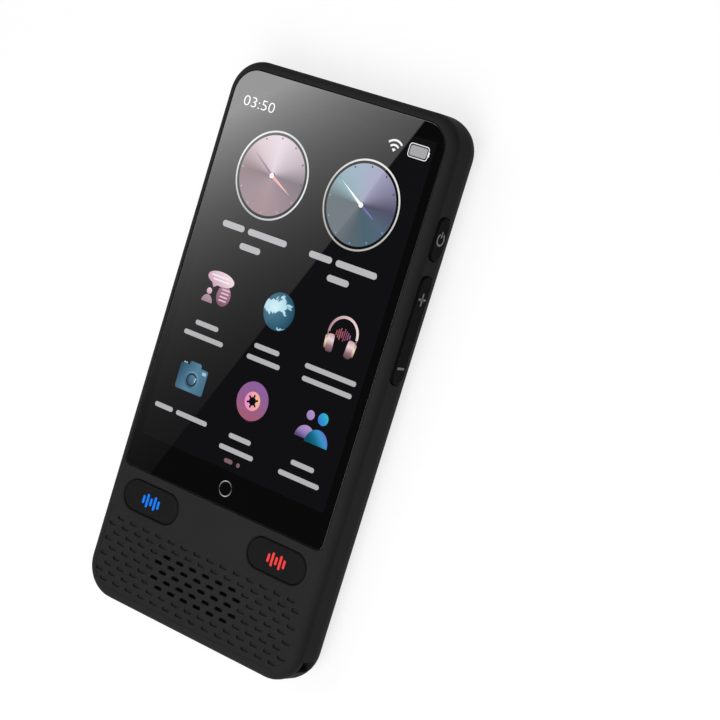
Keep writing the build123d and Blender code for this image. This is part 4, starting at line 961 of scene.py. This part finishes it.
class TRANSLATOR_OT_screen_picture(bpy.types.Operator):
    """What the screen shows: status bar, two dials, six pictograms and bars in place of words"""

    bl_idname = "translator.screen_picture"
    bl_label = "Screen picture"

    def show(self, name, pieces, light, *run):
        """Join shapes, soften their rims and light them, by a material or by its name and shades."""
        piece = join(name, pieces)
        round_edges(piece, 0.004 * MM, steps=1)
        material = lit_pixels("lcd_" + light, *run) if run else light
        finish_piece(piece, material, "handset", "display_layer")

    def status_bar(self):
        """Time figures, wireless arcs and battery level."""
        white = lit_pixels("lcd_white_pixels", ["ededef", "f4f4f6"])
        figures = digits("03:50", -26.6, -17.4, 54.7, 57.0, 1)
        finish_piece(join("time_figures", [figures]), white, "handset", "display_layer")
        # wireless sign: the quarter above its foot of two rings and a disc
        x, y = 17.3, 54.6
        rings = [loop(x, y, radius, 0.46, 1, 40) for radius in (2.8, 1.75)] + [dot(x, y, 0.75, 1, 24)]
        marks = []
        for ring in rings:
            quarter = block((x, y + 2.4, GLASS_TOP), (3.4, 3.4, 1), turn=math.radians(45))
            marks.append(combine(ring, quarter, "INTERSECT"))
        # battery sign: case, tip and level
        marks.append(hollow(bar(23.7, 56.2, 5.4, 3.2, 1, corner=0.75), 0.2))
        marks.append(bar(26.5, 56.2, 0.3, 1.1, 1, corner=0.12))
        self.show("status_marks", marks, white)
        level = [bar(23.7, 56.2, 4.5, 2.3, 1, corner=0.45)]
        self.show("battery_level", level, "grey_pixels", ["a2a2a4", "a9a9ab"])

    def dial(self, side, x, y, rim, face, dark, hands, marks):
        """A clock dial: rim, face brushed round its middle, hour dots, hands and their shadows."""
        rim_radius, face_radius, dot_reach = 10.3, 9.26, 8.75
        ring = [loop(x, y, rim_radius, 0.42, 1, 72)]
        self.show(side + "_dial_rim", ring, side + "_rim", rim, (x - 4, y - 10), (x + 4, y + 10))
        area, top = [dot(x, y, face_radius, 1, 72)], (x, y + face_radius)
        self.show(side + "_dial_face", area, side + "_dial", face, (x, y), top, "RADIAL")
        for word, hours, shade in marks:
            dots = []
            for turn in (math.radians(30 * hour) for hour in hours):
                dots.append(dot(x + dot_reach * math.sin(turn), y + dot_reach * math.cos(turn), 0.24, 2, 12))
            self.show(side + "_dots_" + word, dots, side + "_dots_" + word, [shade, shade])
        shadows = [dot(x + 0.25, y - 0.1, 0.85, 2, 24)]
        for word, tip_x, tip_y, root, *shades in hands:
            shadows.append(hand(x + 0.4, y - 0.15, tip_x + 0.4, tip_y - 0.15, root + 0.15, 2))
            needle = hand(x, y, tip_x, tip_y, root, 3)
            self.show(side + "_" + word + "_hand", [needle], side + "_" + word, shades, (x, y), (tip_x, tip_y))
        self.show(side + "_hand_shadows", shadows, side + "_shade", dark, (x + 4, y - 4), (x - 4, y + 4))
        self.show(side + "_hub", [dot(x, y, 0.62, 4, 24)], side + "_hub", ["f6f6f8", "ffffff"])

    def words(self, x, y, widths, height):
        """Bars for the words of a line, centred on x."""
        bars = []
        gap = 1.1
        place = x - (sum(widths) + gap * (len(widths) - 1)) / 2
        for width in widths:
            bars.append(bar(place + width / 2, y, width, height, 1))
            place += width + gap
        return bars

    def execute(self, context):
        # active area: a touch paler than the printed border
        active = bar(0, (59.3 - 25.45) / 2, 55.2, 84.75, 0.4, corner=0.3)
        self.show("lit_area", [active], "black_state", ["0a0a0c", "0b0b0d"])
        self.status_bar()
        # dials: place, rim, face, shadows, then hands (tip, width at the root, shades) and hour dots
        upper, lower = (11, 12, 1, 2, 3), (4, 5, 6, 7, 8, 9, 10)
        rose = [(0, "a2888f"), (0.083, "9b858e"), (0.25, "7b6e76"), (0.34, "bdacb7"), (0.5, "decfd9")]
        rose += [(0.62, "cfbbc2"), (0.75, "80696f"), (0.875, "96818a"), (1, "a2888f")]
        self.dial(
            "left", -12.69, 41.24, ["b2b8ba", "eceeef", "d2d6d8"], rose, ["6b5f66", "857880"],
            (
                ("minute", -19.28, 45.41, 0.5, "a07294", "94708a"),
                ("hour", -6.15, 38.11, 0.95, "e8a4a2", "f4ccc8"),
            ),
            (("upper", upper, "6a5468"), ("lower", lower, "c79aae")),
        )
        teal = [(0, "5b6870"), (0.083, "4d6672"), (0.167, "55677a"), (0.26, "54526a"), (0.34, "84829c")]
        teal += [(0.46, "a8a8c4"), (0.58, "9bafc0"), (0.68, "8fadb7"), (0.75, "647176")]
        teal += [(0.92, "6e777d"), (1, "5b6870")]
        self.dial(
            "right", 13.25, 41.35, ["b0aea9", "c9c8c4", "f0efec"], teal, ["39444e", "5d6b76"],
            (
                ("minute", 6.4, 45.4, 0.8, "fbfbfb", "ffffff"),
                ("hour", 17.9, 39.0, 0.85, "5a5a96", "9a98c8"),
            ),
            (("upper", upper, "35548e"), ("lower", lower, "6f9cc0")),
        )
        # bars in place of words: x of the middle, y, height and the width of each word
        labels = []
        for x in (-12.69, 13.25):
            for y, widths in ((27.5, (6.6, 11.6)), (23.8, (6.2,))):
                labels += self.words(x, y, widths, 1.5)
        rows = (
            (3.7, ((7.0,), (7.4,), (14.6,))),
            (0.8, ((12.0,), (9.8,), (14.2,))),
            (-17.7, ((5.6, 9.6), (6.6,), (6.7,))),
            (-20.8, ((), (10.2,), (11.8,))),
        )
        for y, line in rows:
            for x, widths in zip((-18.2, 0.1, 18.7), line):
                labels += self.words(x, y, widths, 1.15)
        self.show("label_bars", labels, "label_pixels", ["b4b4b7", "bebec1"])
        pages = [bar(-1.2, -23.42, 2.5, 1.0, 1), dot(1.75, -23.45, 0.52, 1, 20)]
        self.show("page_marks", pages, "mauve", ["7d6269", "856a71"])
        for pictogram in (self.talker, self.globe, self.headphones, self.still_camera, self.reel, self.people):
            pictogram()
        return {"FINISHED"}

    def talker(self):
        """Head and shoulders, and two speech ovals with lines."""
        tail = above(bar(-19.5, 13.4, 1.1, 1.1, 1, corner=0.1, turn=35), 12.7)
        speech = [oval(-18.06, 14.95, 8.0, 3.3, 2, turn=-2), tail]
        self.show("speech_oval", speech, "pale_rose", ["caa0b4", "f2dbe4"], (-20, 13), (-17, 17))
        lines = [bar(-18.4, 15.45, 5.2, 0.3, 3), bar(-17.9, 14.6, 5.0, 0.3, 3)]
        self.show("speech_lines", lines, "rose_white", ["f8ecf1", "ffffff"])
        reply = [oval(-16.1, 11.5, 4.1, 4.9, 1)]
        self.show("reply_oval", reply, "dusk_rose", ["7c5064", "a8788e"], (-16, 9), (-15.4, 13.5))
        lines = [bar(-16.1 + 0.1 * index, 10.35 + 0.85 * index, 2.3, 0.32, 2) for index in range(4)]
        self.show("reply_lines", lines, "reply_lines", ["e6c2d2", "f0d6e2"])
        bust = [above(oval(-20.45, 8.9, 3.2, 3.5, 1), 8.9)]
        self.show("talker_shoulders", bust, "grey_rose", ["a0808e", "b294a2"], (-20, 8.9), (-20, 10.7))
        head = [oval(-20.44, 11.54, 1.5, 1.5, 2)]
        self.show("talker_head", head, "talker_head", ["c898ac", "f4cfdd"], (-20.6, 10.8), (-20.3, 12.3))

    def globe(self):
        self.show("globe", [dot(0.3, 12.74, 4.35, 1, 56)], lit_globe((0.3, 12.74), 4.35))

    def headphones(self):
        """Headphones with a sound wave between their cups."""
        band = [above(loop(18.8, 13.0, 4.2, 0.62, 1, 56), 12.8)]
        self.show("headphone_band", band, "band", ["a88088", "d8b4b8", "f2dedd"], (14.6, 13), (22, 17))
        stems = [bar(x, 12.1, 0.25, 1.9, 1, corner=0.08, turn=turn) for x, turn in ((14.85, 4), (22.75, -4))]
        self.show("headphone_stems", stems, "stems", ["8c8686", "9c9696"])
        for side, word in ((-1, "left"), (1, "right")):
            x = 18.8 + side * 2.75
            rose, brass = ["52424e", "9a7078", "eed8da", "c89aa0"], ["6e4a2c", "f2e2c8", "c49a70"]
            cup = [bar(x, 10.35, 1.9, 4.1, 2, corner=0.6, turn=side * -5)]
            self.show(word + "_cup", cup, word + "_cup", rose, (x, 8.3), (x, 12.4))
            plate = [bar(x + side * 1.05, 10.4, 0.95, 3.1, 1, corner=0.4, turn=side * -5)]
            self.show(word + "_cup_plate", plate, word + "_plate", brass, (x, 8.9), (x, 12))
        heights = (1.2, 2.0, 2.7, 1.5, 2.9, 2.2, 1.7, 1.0)
        wave = [bar(17.0 + 0.54 * rank, 13.0, 0.26, tall, 1, corner=0.1) for rank, tall in enumerate(heights)]
        self.show("sound_wave", wave, "wave", ["a8545c", "b06a78", "8c4468", "9a6a90"], (17, 13), (20.8, 13))

    def still_camera(self):
        hump = block((-18.0, -5.85, GLASS_TOP - 0.005), (3.6, 1.3, 0.03), 0.4, steps=1)
        shape = [bar(-18.1, -9.25, 8.4, 6.1, 1, corner=0.55), hump]
        steel = ["1f4a63", "54809a", "3e6a84"]
        self.show("camera_shape", shape, "steel_blue", steel, (-22.5, -7.5), (-13.5, -11))
        rim = [loop(-18.0, -9.4, 2.05, 0.5, 2, 44)]
        self.show("camera_barrel", rim, "barrel", ["2c5a74", "6c98b0"], (-19.5, -11), (-16.6, -7.8))
        self.show("camera_well", [loop(-18.0, -9.4, 1.6, 0.42, 3, 40)], "well", ["10293a", "1c3d50"])
        eye = [dot(-18.0, -9.4, 1.2, 2, 36)]
        self.show("camera_eye", eye, "eye", ["2f5068", "5c8298"], (-18.8, -10.2), (-17, -8.6))
        glints = [bar(-16.95, -9.2, 0.35, 1.1, 4, corner=0.15, turn=-10)]
        glints.append(bar(-14.95, -7.1, 1.15, 0.75, 2, corner=0.12))
        glints += [bar(x, -5.95, 0.42, 0.36, 2, corner=0.1) for x in (-21.3, -20.72)]
        self.show("camera_glints", glints, "glint", ["a4c6dc", "c8e0ee"])

    def reel(self):
        """A tape reel: disc, pale hub and toothed hole."""
        x, y = 0.43, -8.5
        area = [dot(x, y, 4.5, 1, 56)]
        self.show("reel", area, "reel", ["a85c70", "94608e", "8c60a2"], (0, -13), (1.4, -4.2))
        shadow = [oval(0.6, -9.5, 6.4, 7.6, 0.7)]
        self.show("reel_shadow", shadow, "reel_shadow", ["3c1650", "1a0e28"], (0.6, -13.3), (0.6, -12.2))
        hub = [dot(x, y, 2.2, 2, 40)]
        self.show("reel_hub", hub, "hub", ["f08ad0", "f4a4b0", "f6bc94"], (-1.6, -9.2), (2.5, -7.8))
        hole = [dot(x, y, 0.98, 3, 28)]
        for turn in range(20, 380, 60):
            out_x, out_y = math.cos(math.radians(turn)), math.sin(math.radians(turn))
            hole.append(bar(x + 1.2 * out_x, y + 1.2 * out_y, 0.8, 0.46, 3, corner=0.15, turn=turn))
        self.show("reel_hole", hole, "hole", ["060507", "0a080b"])

    def people(self):
        """Two people, one behind the other."""
        lilac = ["5c4a80", "9a84bc", "b294cc"]
        self.show("back_head", [dot(16.83, -6.3, 1.1, 1, 32)], "back_head", lilac[1:], (16, -7), (17.5, -5.4))
        bust = [above(oval(16.85, -11.7, 5.6, 5.9, 1), -11.7)]
        self.show("back_shoulders", bust, "back_shoulders", lilac, (16.4, -11.7), (17, -8.8))
        head = [dot(20.4, -6.18, 1.42, 1, 36)]
        self.show("front_head", head, "front_head", ["3a72d0", "2f9cd0", "32c0c4"], (19.4, -7.2), (21.6, -5.2))
        bust = [above(oval(20.3, -12.2, 6.5, 6.9, 2), -12.2)]
        blues = ["0c4f66", "106c88", "3a92c6", "6670d0"]
        self.show("front_shoulders", bust, "front_shoulders", blues, (18.8, -12.4), (22.0, -8.8))


class TRANSLATOR_OT_talk_buttons(bpy.types.Operator):
    """Talk buttons with softened rims, dished faces and their raised voice marks"""

    bl_idname = "translator.talk_buttons"
    bl_label = "Talk buttons"

    def execute(self, context):
        edge, dish = sizes().key_edge, sizes().talk_dish
        proud = sizes().mark_height / MM
        for side, word, shade in ((-1, "left", colours().left_mark), (1, "right", colours().right_mark)):
            node = word + "_talk_button"
            piece = copy_of(node, node + "_cap")
            # the face is dished: its rim slopes down to a flat middle
            choose(piece, "FACE", lambda place, normal: normal.z > 0.99 and place.z > TALK_TOP - 1e-3)
            bpy.ops.mesh.inset(thickness=edge * 1.5)
            for step in (0.4, 0.3, 0.2, 0.1):
                bpy.ops.mesh.inset(thickness=0.36 * MM, depth=-dish * step)
            settle(piece)
            round_edges(piece, edge, steps=3, angle=30)
            smooth(piece, 32)
            finish_piece(piece, part_material(node), word + "_talk", "button_plastic", node)
            floor = TALK_TOP - dish / MM
            bars = []
            for index, height in enumerate((2.0, 3.3, 1.9, 3.3, 2.0)):
                middle = (side * TALK_X - 0.15 + (index - 2) * 1.14, TALK_Y - 0.22, floor + proud / 2 - 0.02)
                bars.append(block(middle, (0.66, height, proud + 0.04), 0.32, steps=6))
            ink = printed_ink(word + "_mark_ink", shade)
            finish_piece(join(word + "_voice_mark", bars), ink, word + "_talk", "button_plastic")
        return {"FINISHED"}


class TRANSLATOR_OT_side_keys(bpy.types.Operator):
    """Power key and volume rocker with softened rims and printed marks"""

    bl_idname = "translator.side_keys"
    bl_label = "Side keys"

    def execute(self, context):
        edge = sizes().key_edge
        for node, body in (("power_button", "power_key"), ("volume_rocker", "volume_key")):
            piece = copy_of(node, node + "_cap")
            # the face is sunk by the height of its ink
            choose(piece, "FACE", lambda place, normal: normal.x > 0.99 and place.x > KEY_FACE - 1e-3)
            bpy.ops.mesh.inset(thickness=edge * 1.5)
            bpy.ops.mesh.inset(thickness=0.2 * MM, depth=-0.02 * MM)
            settle(piece)
            round_edges(piece, edge, steps=3, angle=30)
            smooth(piece, 32)
            finish_piece(piece, part_material(node), body, "key_plastic", node)
        ink = printed_ink("side_mark_ink", colours().side_mark)
        face = KEY_FACE - 0.03
        thick = 0.04
        ring = hollow(disc((face, POWER_Y, KEY_Z), 1.5, thick, 40, axis=0), 0.45, axis=0)
        combine(ring, block((face, POWER_Y + 1.4, KEY_Z), (1, 1.4, 1.3)), "DIFFERENCE")
        stroke = block((face, POWER_Y + 1.1, KEY_Z), (thick, 1.5, 0.45), 0.2, axis=0)
        finish_piece(join("power_mark", [ring, stroke]), ink, "power_key", "key_plastic")
        # plus and minus: y from the middle of the rocker, then length along y and along z
        strokes = ((7.2, 2.9, 0.5), (7.2, 0.5, 2.8), (-8.6, 0.5, 2.8))
        marks = []
        for y, long, tall in strokes:
            marks.append(block((face, VOLUME_Y + y, KEY_Z), (thick, long, tall), 0.2, axis=0))
        finish_piece(join("volume_marks", marks), ink, "volume_key", "key_plastic")
        return {"FINISHED"}


class TRANSLATOR_OT_camera(bpy.types.Operator):
    """Camera: plate with a softened rim, printed ring, stepped barrel and domed lens"""

    bl_idname = "translator.camera"
    bl_label = "Camera"

    def execute(self, context):
        plate = copy_of("camera_plate", "camera_plate_sheet")
        round_edges(plate, 0.1 * MM)
        smooth(plate)
        finish_piece(plate, part_material("camera_plate"), "handset", "plate_plastic", "camera_plate")
        ring = block((LENS_X, LENS_Y, PLATE_FACE), (11.1, 12.1, 0.03), 3.0, steps=10, name="lens_ring")
        hollow(ring, sizes().ring_line / MM)
        finish_piece(ring, printed_ink("white_ink_print", colours().ring), "handset", "plate_plastic")
        # barrel: steps inset towards the lens stop stray light
        tall = BARREL_HIGH[2] - BARREL_LOW[2]
        barrel = disc((LENS_X, LENS_Y, BARREL_Z), 3.2, tall, 64, name="camera_barrel_stepped")
        choose(barrel, "FACE", lambda place, normal: normal.z < -0.9)
        for inset, sink in ((0.35, 0.12), (0.2, 0.12), (0.2, 0.12), (0.2, 0.34)):
            bpy.ops.mesh.inset(thickness=inset * MM)
            bpy.ops.mesh.extrude_region_move(TRANSFORM_OT_translate={"value": (0, 0, sink * MM)})
        smooth(settle(barrel))
        finish_piece(barrel, part_material("camera_barrel"), "handset", "chip_resin", "camera_barrel")
        # lens: the cap of a ball, of this radius at its edge and this high, cut by a plane
        edge, rise = 2.1, 0.45
        ball = (edge * edge + rise * rise) / (2 * rise)
        middle = in_metres((LENS_X, LENS_Y, LENS_SEAT - rise + ball))
        deselect()
        bpy.ops.mesh.primitive_uv_sphere_add(segments=64, ring_count=96, radius=ball * MM, location=middle)
        lens = bpy.context.object
        lens.name = "camera_lens_dome"
        smooth(cut(settle(lens), (0, 0, LENS_SEAT), (0, 0, 1)))
        finish_piece(lens, part_material("camera_lens"), "handset", "lens_glass", "camera_lens")
        return {"FINISHED"}


class TRANSLATOR_OT_socket(bpy.types.Operator):
    """Charging socket: gilt contact strips on both faces of the tongue"""

    bl_idname = "translator.socket"
    bl_label = "Charging socket"

    def execute(self, context):
        # gold plate: warm gloss
        gilt = metal("gilt_contact_strip", "d9a441", 0.25, 0.15)
        size = (0.26, 3.0, TONGUE_HIGH[2] - TONGUE_LOW[2] + 0.04)
        y, z = TONGUE_LOW[1] + 1.9, TONGUE_MIDDLE[2]
        strips = [block(((index - 5.5) * 0.5, y, z), size, 0.1, steps=3) for index in range(12)]
        finish_piece(join("socket_contacts", strips), gilt, "handset", "plain_steel")
        return {"FINISHED"}


# Soft lamps: name, place and side in metres, power in watts
LAMPS = (
    ("key_softbox", (0.17, -0.28, 0.6), 0.5, 3.3),
    ("fill_softbox", (-0.5, 0.2, 0.8), 0.6, 1.8),
    ("top_softbox", (0.1, 0.8, 0.6), 0.6, 0.4),
    ("underside_softbox", (0.0, 0.0, -0.8), 0.9, 7.0),
)
LAMP_AIM = Vector((0, 0, 0.006))

# Main view: the camera's place in metres, its axes, and its focal length in widths of the picture
VIEW_PLACE = Vector((0.2743, 0.0586, 0.3884))
VIEW_RIGHT = Vector((0.7786, 0.2921, -0.5553))
VIEW_DOWN = Vector((0.3025, -0.9501, -0.0757))
VIEW_AHEAD = Vector((-0.5498, -0.109, -0.8282))
VIEW_REACH = 2071.9 / 720


class TRANSLATOR_OT_stage(bpy.types.Operator):
    """Studio: pale floor, soft lamps, white surround, reflection card and camera"""

    bl_idname = "translator.stage"
    bl_label = "Studio stage"

    def looked_at(self, tree, path):
        """1 for the rays that look at a thing, directly, by gloss or through glass."""
        sockets = {0: path.outputs["Is Camera Ray"], 1: path.outputs["Is Glossy Ray"]}
        seen = add_node(tree, "ShaderNodeMath", sockets, operation="MAXIMUM")
        sockets = {0: seen.outputs[0], 1: path.outputs["Is Transmission Ray"]}
        return add_node(tree, "ShaderNodeMath", sockets, operation="MAXIMUM").outputs[0]

    def sheet(self, name, size, place, material):
        """A flat sheet that belongs to the stage."""
        deselect()
        bpy.ops.mesh.primitive_plane_add(size=size, location=place)
        sheet = settle(bpy.context.object)
        sheet.name = name
        sheet.data.materials.append(material)
        return sheet

    def floor(self):
        """A pale floor that is clear from below, so that the back can be seen."""
        material, tree = blank("pale_studio_floor")
        path = add_node(tree, "ShaderNodeLightPath")
        place = add_node(tree, "ShaderNodeTexCoord").outputs["Object"]
        mottle = add_node(tree, "ShaderNodeTexNoise", {"Vector": place, "Scale": 6.0})
        sockets = {"Factor": mottle.outputs["Fac"], 6: darker(colours().floor, 0.99), 7: colours().floor}
        tint = add_node(tree, "ShaderNodeMix", sockets, data_type="RGBA")
        paint = add_node(tree, "ShaderNodeBsdfDiffuse", {"Color": tint.outputs[2]}).outputs[0]
        # far off, where the lamps no longer reach, the lift brings the floor up to the white surround
        reach = add_node(tree, "ShaderNodeVectorMath", {0: place}, operation="LENGTH")
        sockets = {"Value": reach.outputs["Value"], "From Min": 0.35, "From Max": 1.6}
        level = add_node(tree, "ShaderNodeMapRange", {**sockets, "To Min": 0.78, "To Max": 0.95})
        sockets = {"Color": (1, 1, 1, 1), "Strength": level.outputs["Result"]}
        lift = add_node(tree, "ShaderNodeEmission", sockets)
        lit = add_node(tree, "ShaderNodeAddShader", {0: paint, 1: lift.outputs[0]})
        sockets = {0: self.looked_at(tree, path), 1: paint, 2: lit.outputs[0]}
        seen = add_node(tree, "ShaderNodeMixShader", sockets)
        side = add_node(tree, "ShaderNodeNewGeometry")
        sockets = {0: side.outputs["Backfacing"], 1: path.outputs["Is Shadow Ray"]}
        passed = add_node(tree, "ShaderNodeMath", sockets, operation="MAXIMUM")
        clear = add_node(tree, "ShaderNodeBsdfTransparent")
        sockets = {0: passed.outputs[0], 1: seen.outputs[0], 2: clear.outputs[0]}
        mix = add_node(tree, "ShaderNodeMixShader", sockets)
        add_node(tree, "ShaderNodeOutputMaterial", {"Surface": mix.outputs[0]})
        self.sheet("studio_floor", 6.0, (0, 0, 0), material)

    def lamp(self, name, place, side, power):
        """A soft square lamp that points at the handset."""
        deselect()
        bpy.ops.object.light_add(type="AREA", location=place)
        lamp = bpy.context.object
        lamp.name = name
        lamp.data.shape = "RECTANGLE"
        lamp.data.size = lamp.data.size_y = side
        lamp.data.energy = power
        lamp.rotation_euler = (LAMP_AIM - Vector(place)).to_track_quat("-Z", "Y").to_euler()

    def card(self):
        """A card overhead that only reflections see: dark, with one bright slanting part."""
        material, tree = blank("reflection_card")
        place = add_node(tree, "ShaderNodeTexCoord").outputs["Object"]
        parts = add_node(tree, "ShaderNodeSeparateXYZ", {"Vector": place})
        x, y = parts.outputs["X"], parts.outputs["Y"]
        # the bright part ends on a line through (-0.378, 0.071) and (-0.494, -0.180)
        slope = (-0.378 + 0.494) / (0.071 + 0.180)
        sockets = {0: y, 1: slope, 2: -0.378 - 0.071 * slope}
        line = add_node(tree, "ShaderNodeMath", sockets, operation="MULTIPLY_ADD")
        beside = add_node(tree, "ShaderNodeMath", {0: line.outputs[0], 1: x}, operation="SUBTRACT")
        sockets = {"Value": beside.outputs[0], "From Min": 0.0, "From Max": 0.001}
        bright = add_node(tree, "ShaderNodeMapRange", sockets)
        # the bright part fades from its far corner down and across: level = e^(18.3 y - 13.6 x - 5.81)
        down = add_node(tree, "ShaderNodeMath", {0: y, 1: 18.3, 2: -5.81}, operation="MULTIPLY_ADD")
        sockets = {0: x, 1: -13.6, 2: down.outputs[0]}
        across = add_node(tree, "ShaderNodeMath", sockets, operation="MULTIPLY_ADD")
        fade = add_node(tree, "ShaderNodeMath", {0: across.outputs[0]}, operation="EXPONENT")
        level = add_node(tree, "ShaderNodeMath", {0: fade.outputs[0], 1: 7.0}, operation="MINIMUM")
        sockets = {"Value": bright.outputs["Result"], "To Min": 0.03, "To Max": level.outputs[0]}
        glow = add_node(tree, "ShaderNodeMapRange", sockets)
        emit = add_node(tree, "ShaderNodeEmission", {"Strength": glow.outputs["Result"]})
        add_node(tree, "ShaderNodeOutputMaterial", {"Surface": emit.outputs[0]})
        card = self.sheet("reflection_card", 1.0, (-0.35, -0.05, 0.613), material)
        card.visible_camera = card.visible_diffuse = False
        card.visible_shadow = card.visible_transmission = False

    def surround(self):
        """White to the eye and to gloss, softer as a light."""
        world = bpy.data.worlds.new("studio_surround")
        bpy.context.scene.world = world
        world.use_nodes = True
        tree = world.node_tree
        tree.nodes.clear()
        seen = self.looked_at(tree, add_node(tree, "ShaderNodeLightPath"))
        level = add_node(tree, "ShaderNodeMapRange", {"Value": seen, "To Min": 0.2, "To Max": 1.0})
        sockets = {"Color": (1, 1, 1, 1), "Strength": level.outputs["Result"]}
        back = add_node(tree, "ShaderNodeBackground", sockets)
        add_node(tree, "ShaderNodeOutputWorld", {"Surface": back.outputs[0]})

    def camera(self):
        """The main view: the handset stands upright in it, seen from its key side."""
        data = bpy.data.cameras.new("main_camera")
        camera = bpy.data.objects.new("main_camera", data)
        bpy.context.scene.collection.objects.link(camera)
        turn = Matrix((VIEW_RIGHT, -VIEW_DOWN, -VIEW_AHEAD)).transposed()
        camera.matrix_world = Matrix.Translation(VIEW_PLACE) @ turn.to_4x4()
        data.sensor_width = 36.0
        data.lens = VIEW_REACH * data.sensor_width
        data.clip_start = 0.01
        data.clip_end = 20.0
        bpy.context.scene.camera = camera

    def execute(self, context):
        self.floor()
        for lamp in LAMPS:
            self.lamp(*lamp)
        self.card()
        self.surround()
        self.camera()
        context.scene.view_settings.view_transform = "Standard"
        return {"FINISHED"}


OPERATORS = (
    TRANSLATOR_OT_stage,
    TRANSLATOR_OT_inner_parts,
    TRANSLATOR_OT_front_housing,
    TRANSLATOR_OT_rear_cover,
    TRANSLATOR_OT_cover_glass,
    TRANSLATOR_OT_screen_picture,
    TRANSLATOR_OT_talk_buttons,
    TRANSLATOR_OT_side_keys,
    TRANSLATOR_OT_camera,
    TRANSLATOR_OT_socket,
)


class TRANSLATOR_PT_sidebar(bpy.types.Panel):
    """Lists the steps that build the handset"""

    bl_idname = "TRANSLATOR_PT_sidebar"
    bl_label = "Handheld translator"
    bl_space_type = "VIEW_3D"
    bl_region_type = "UI"
    bl_category = "Translator"

    def draw(self, context):
        for group in (context.scene.translator_sizes, context.scene.translator_colours):
            for key in group.bl_rna.properties.keys():
                if key not in ("rna_type", "name"):
                    self.layout.prop(group, key)
        for operator in OPERATORS:
            self.layout.operator(operator.bl_idname)


CLASSES = (TranslatorSizes, TranslatorColours, *OPERATORS, TRANSLATOR_PT_sidebar)


def register():
    for kind in CLASSES:
        bpy.utils.register_class(kind)
    bpy.types.Scene.translator_sizes = PointerProperty(type=TranslatorSizes)
    bpy.types.Scene.translator_colours = PointerProperty(type=TranslatorColours)


def unregister():
    del bpy.types.Scene.translator_colours
    del bpy.types.Scene.translator_sizes
    for kind in reversed(CLASSES):
        bpy.utils.unregister_class(kind)


def main():
    register()
    for operator in OPERATORS:
        group, name = operator.bl_idname.split(".")
        getattr(getattr(bpy.ops, group), name)()
    deselect()


if __name__ == "__main__":
    main()
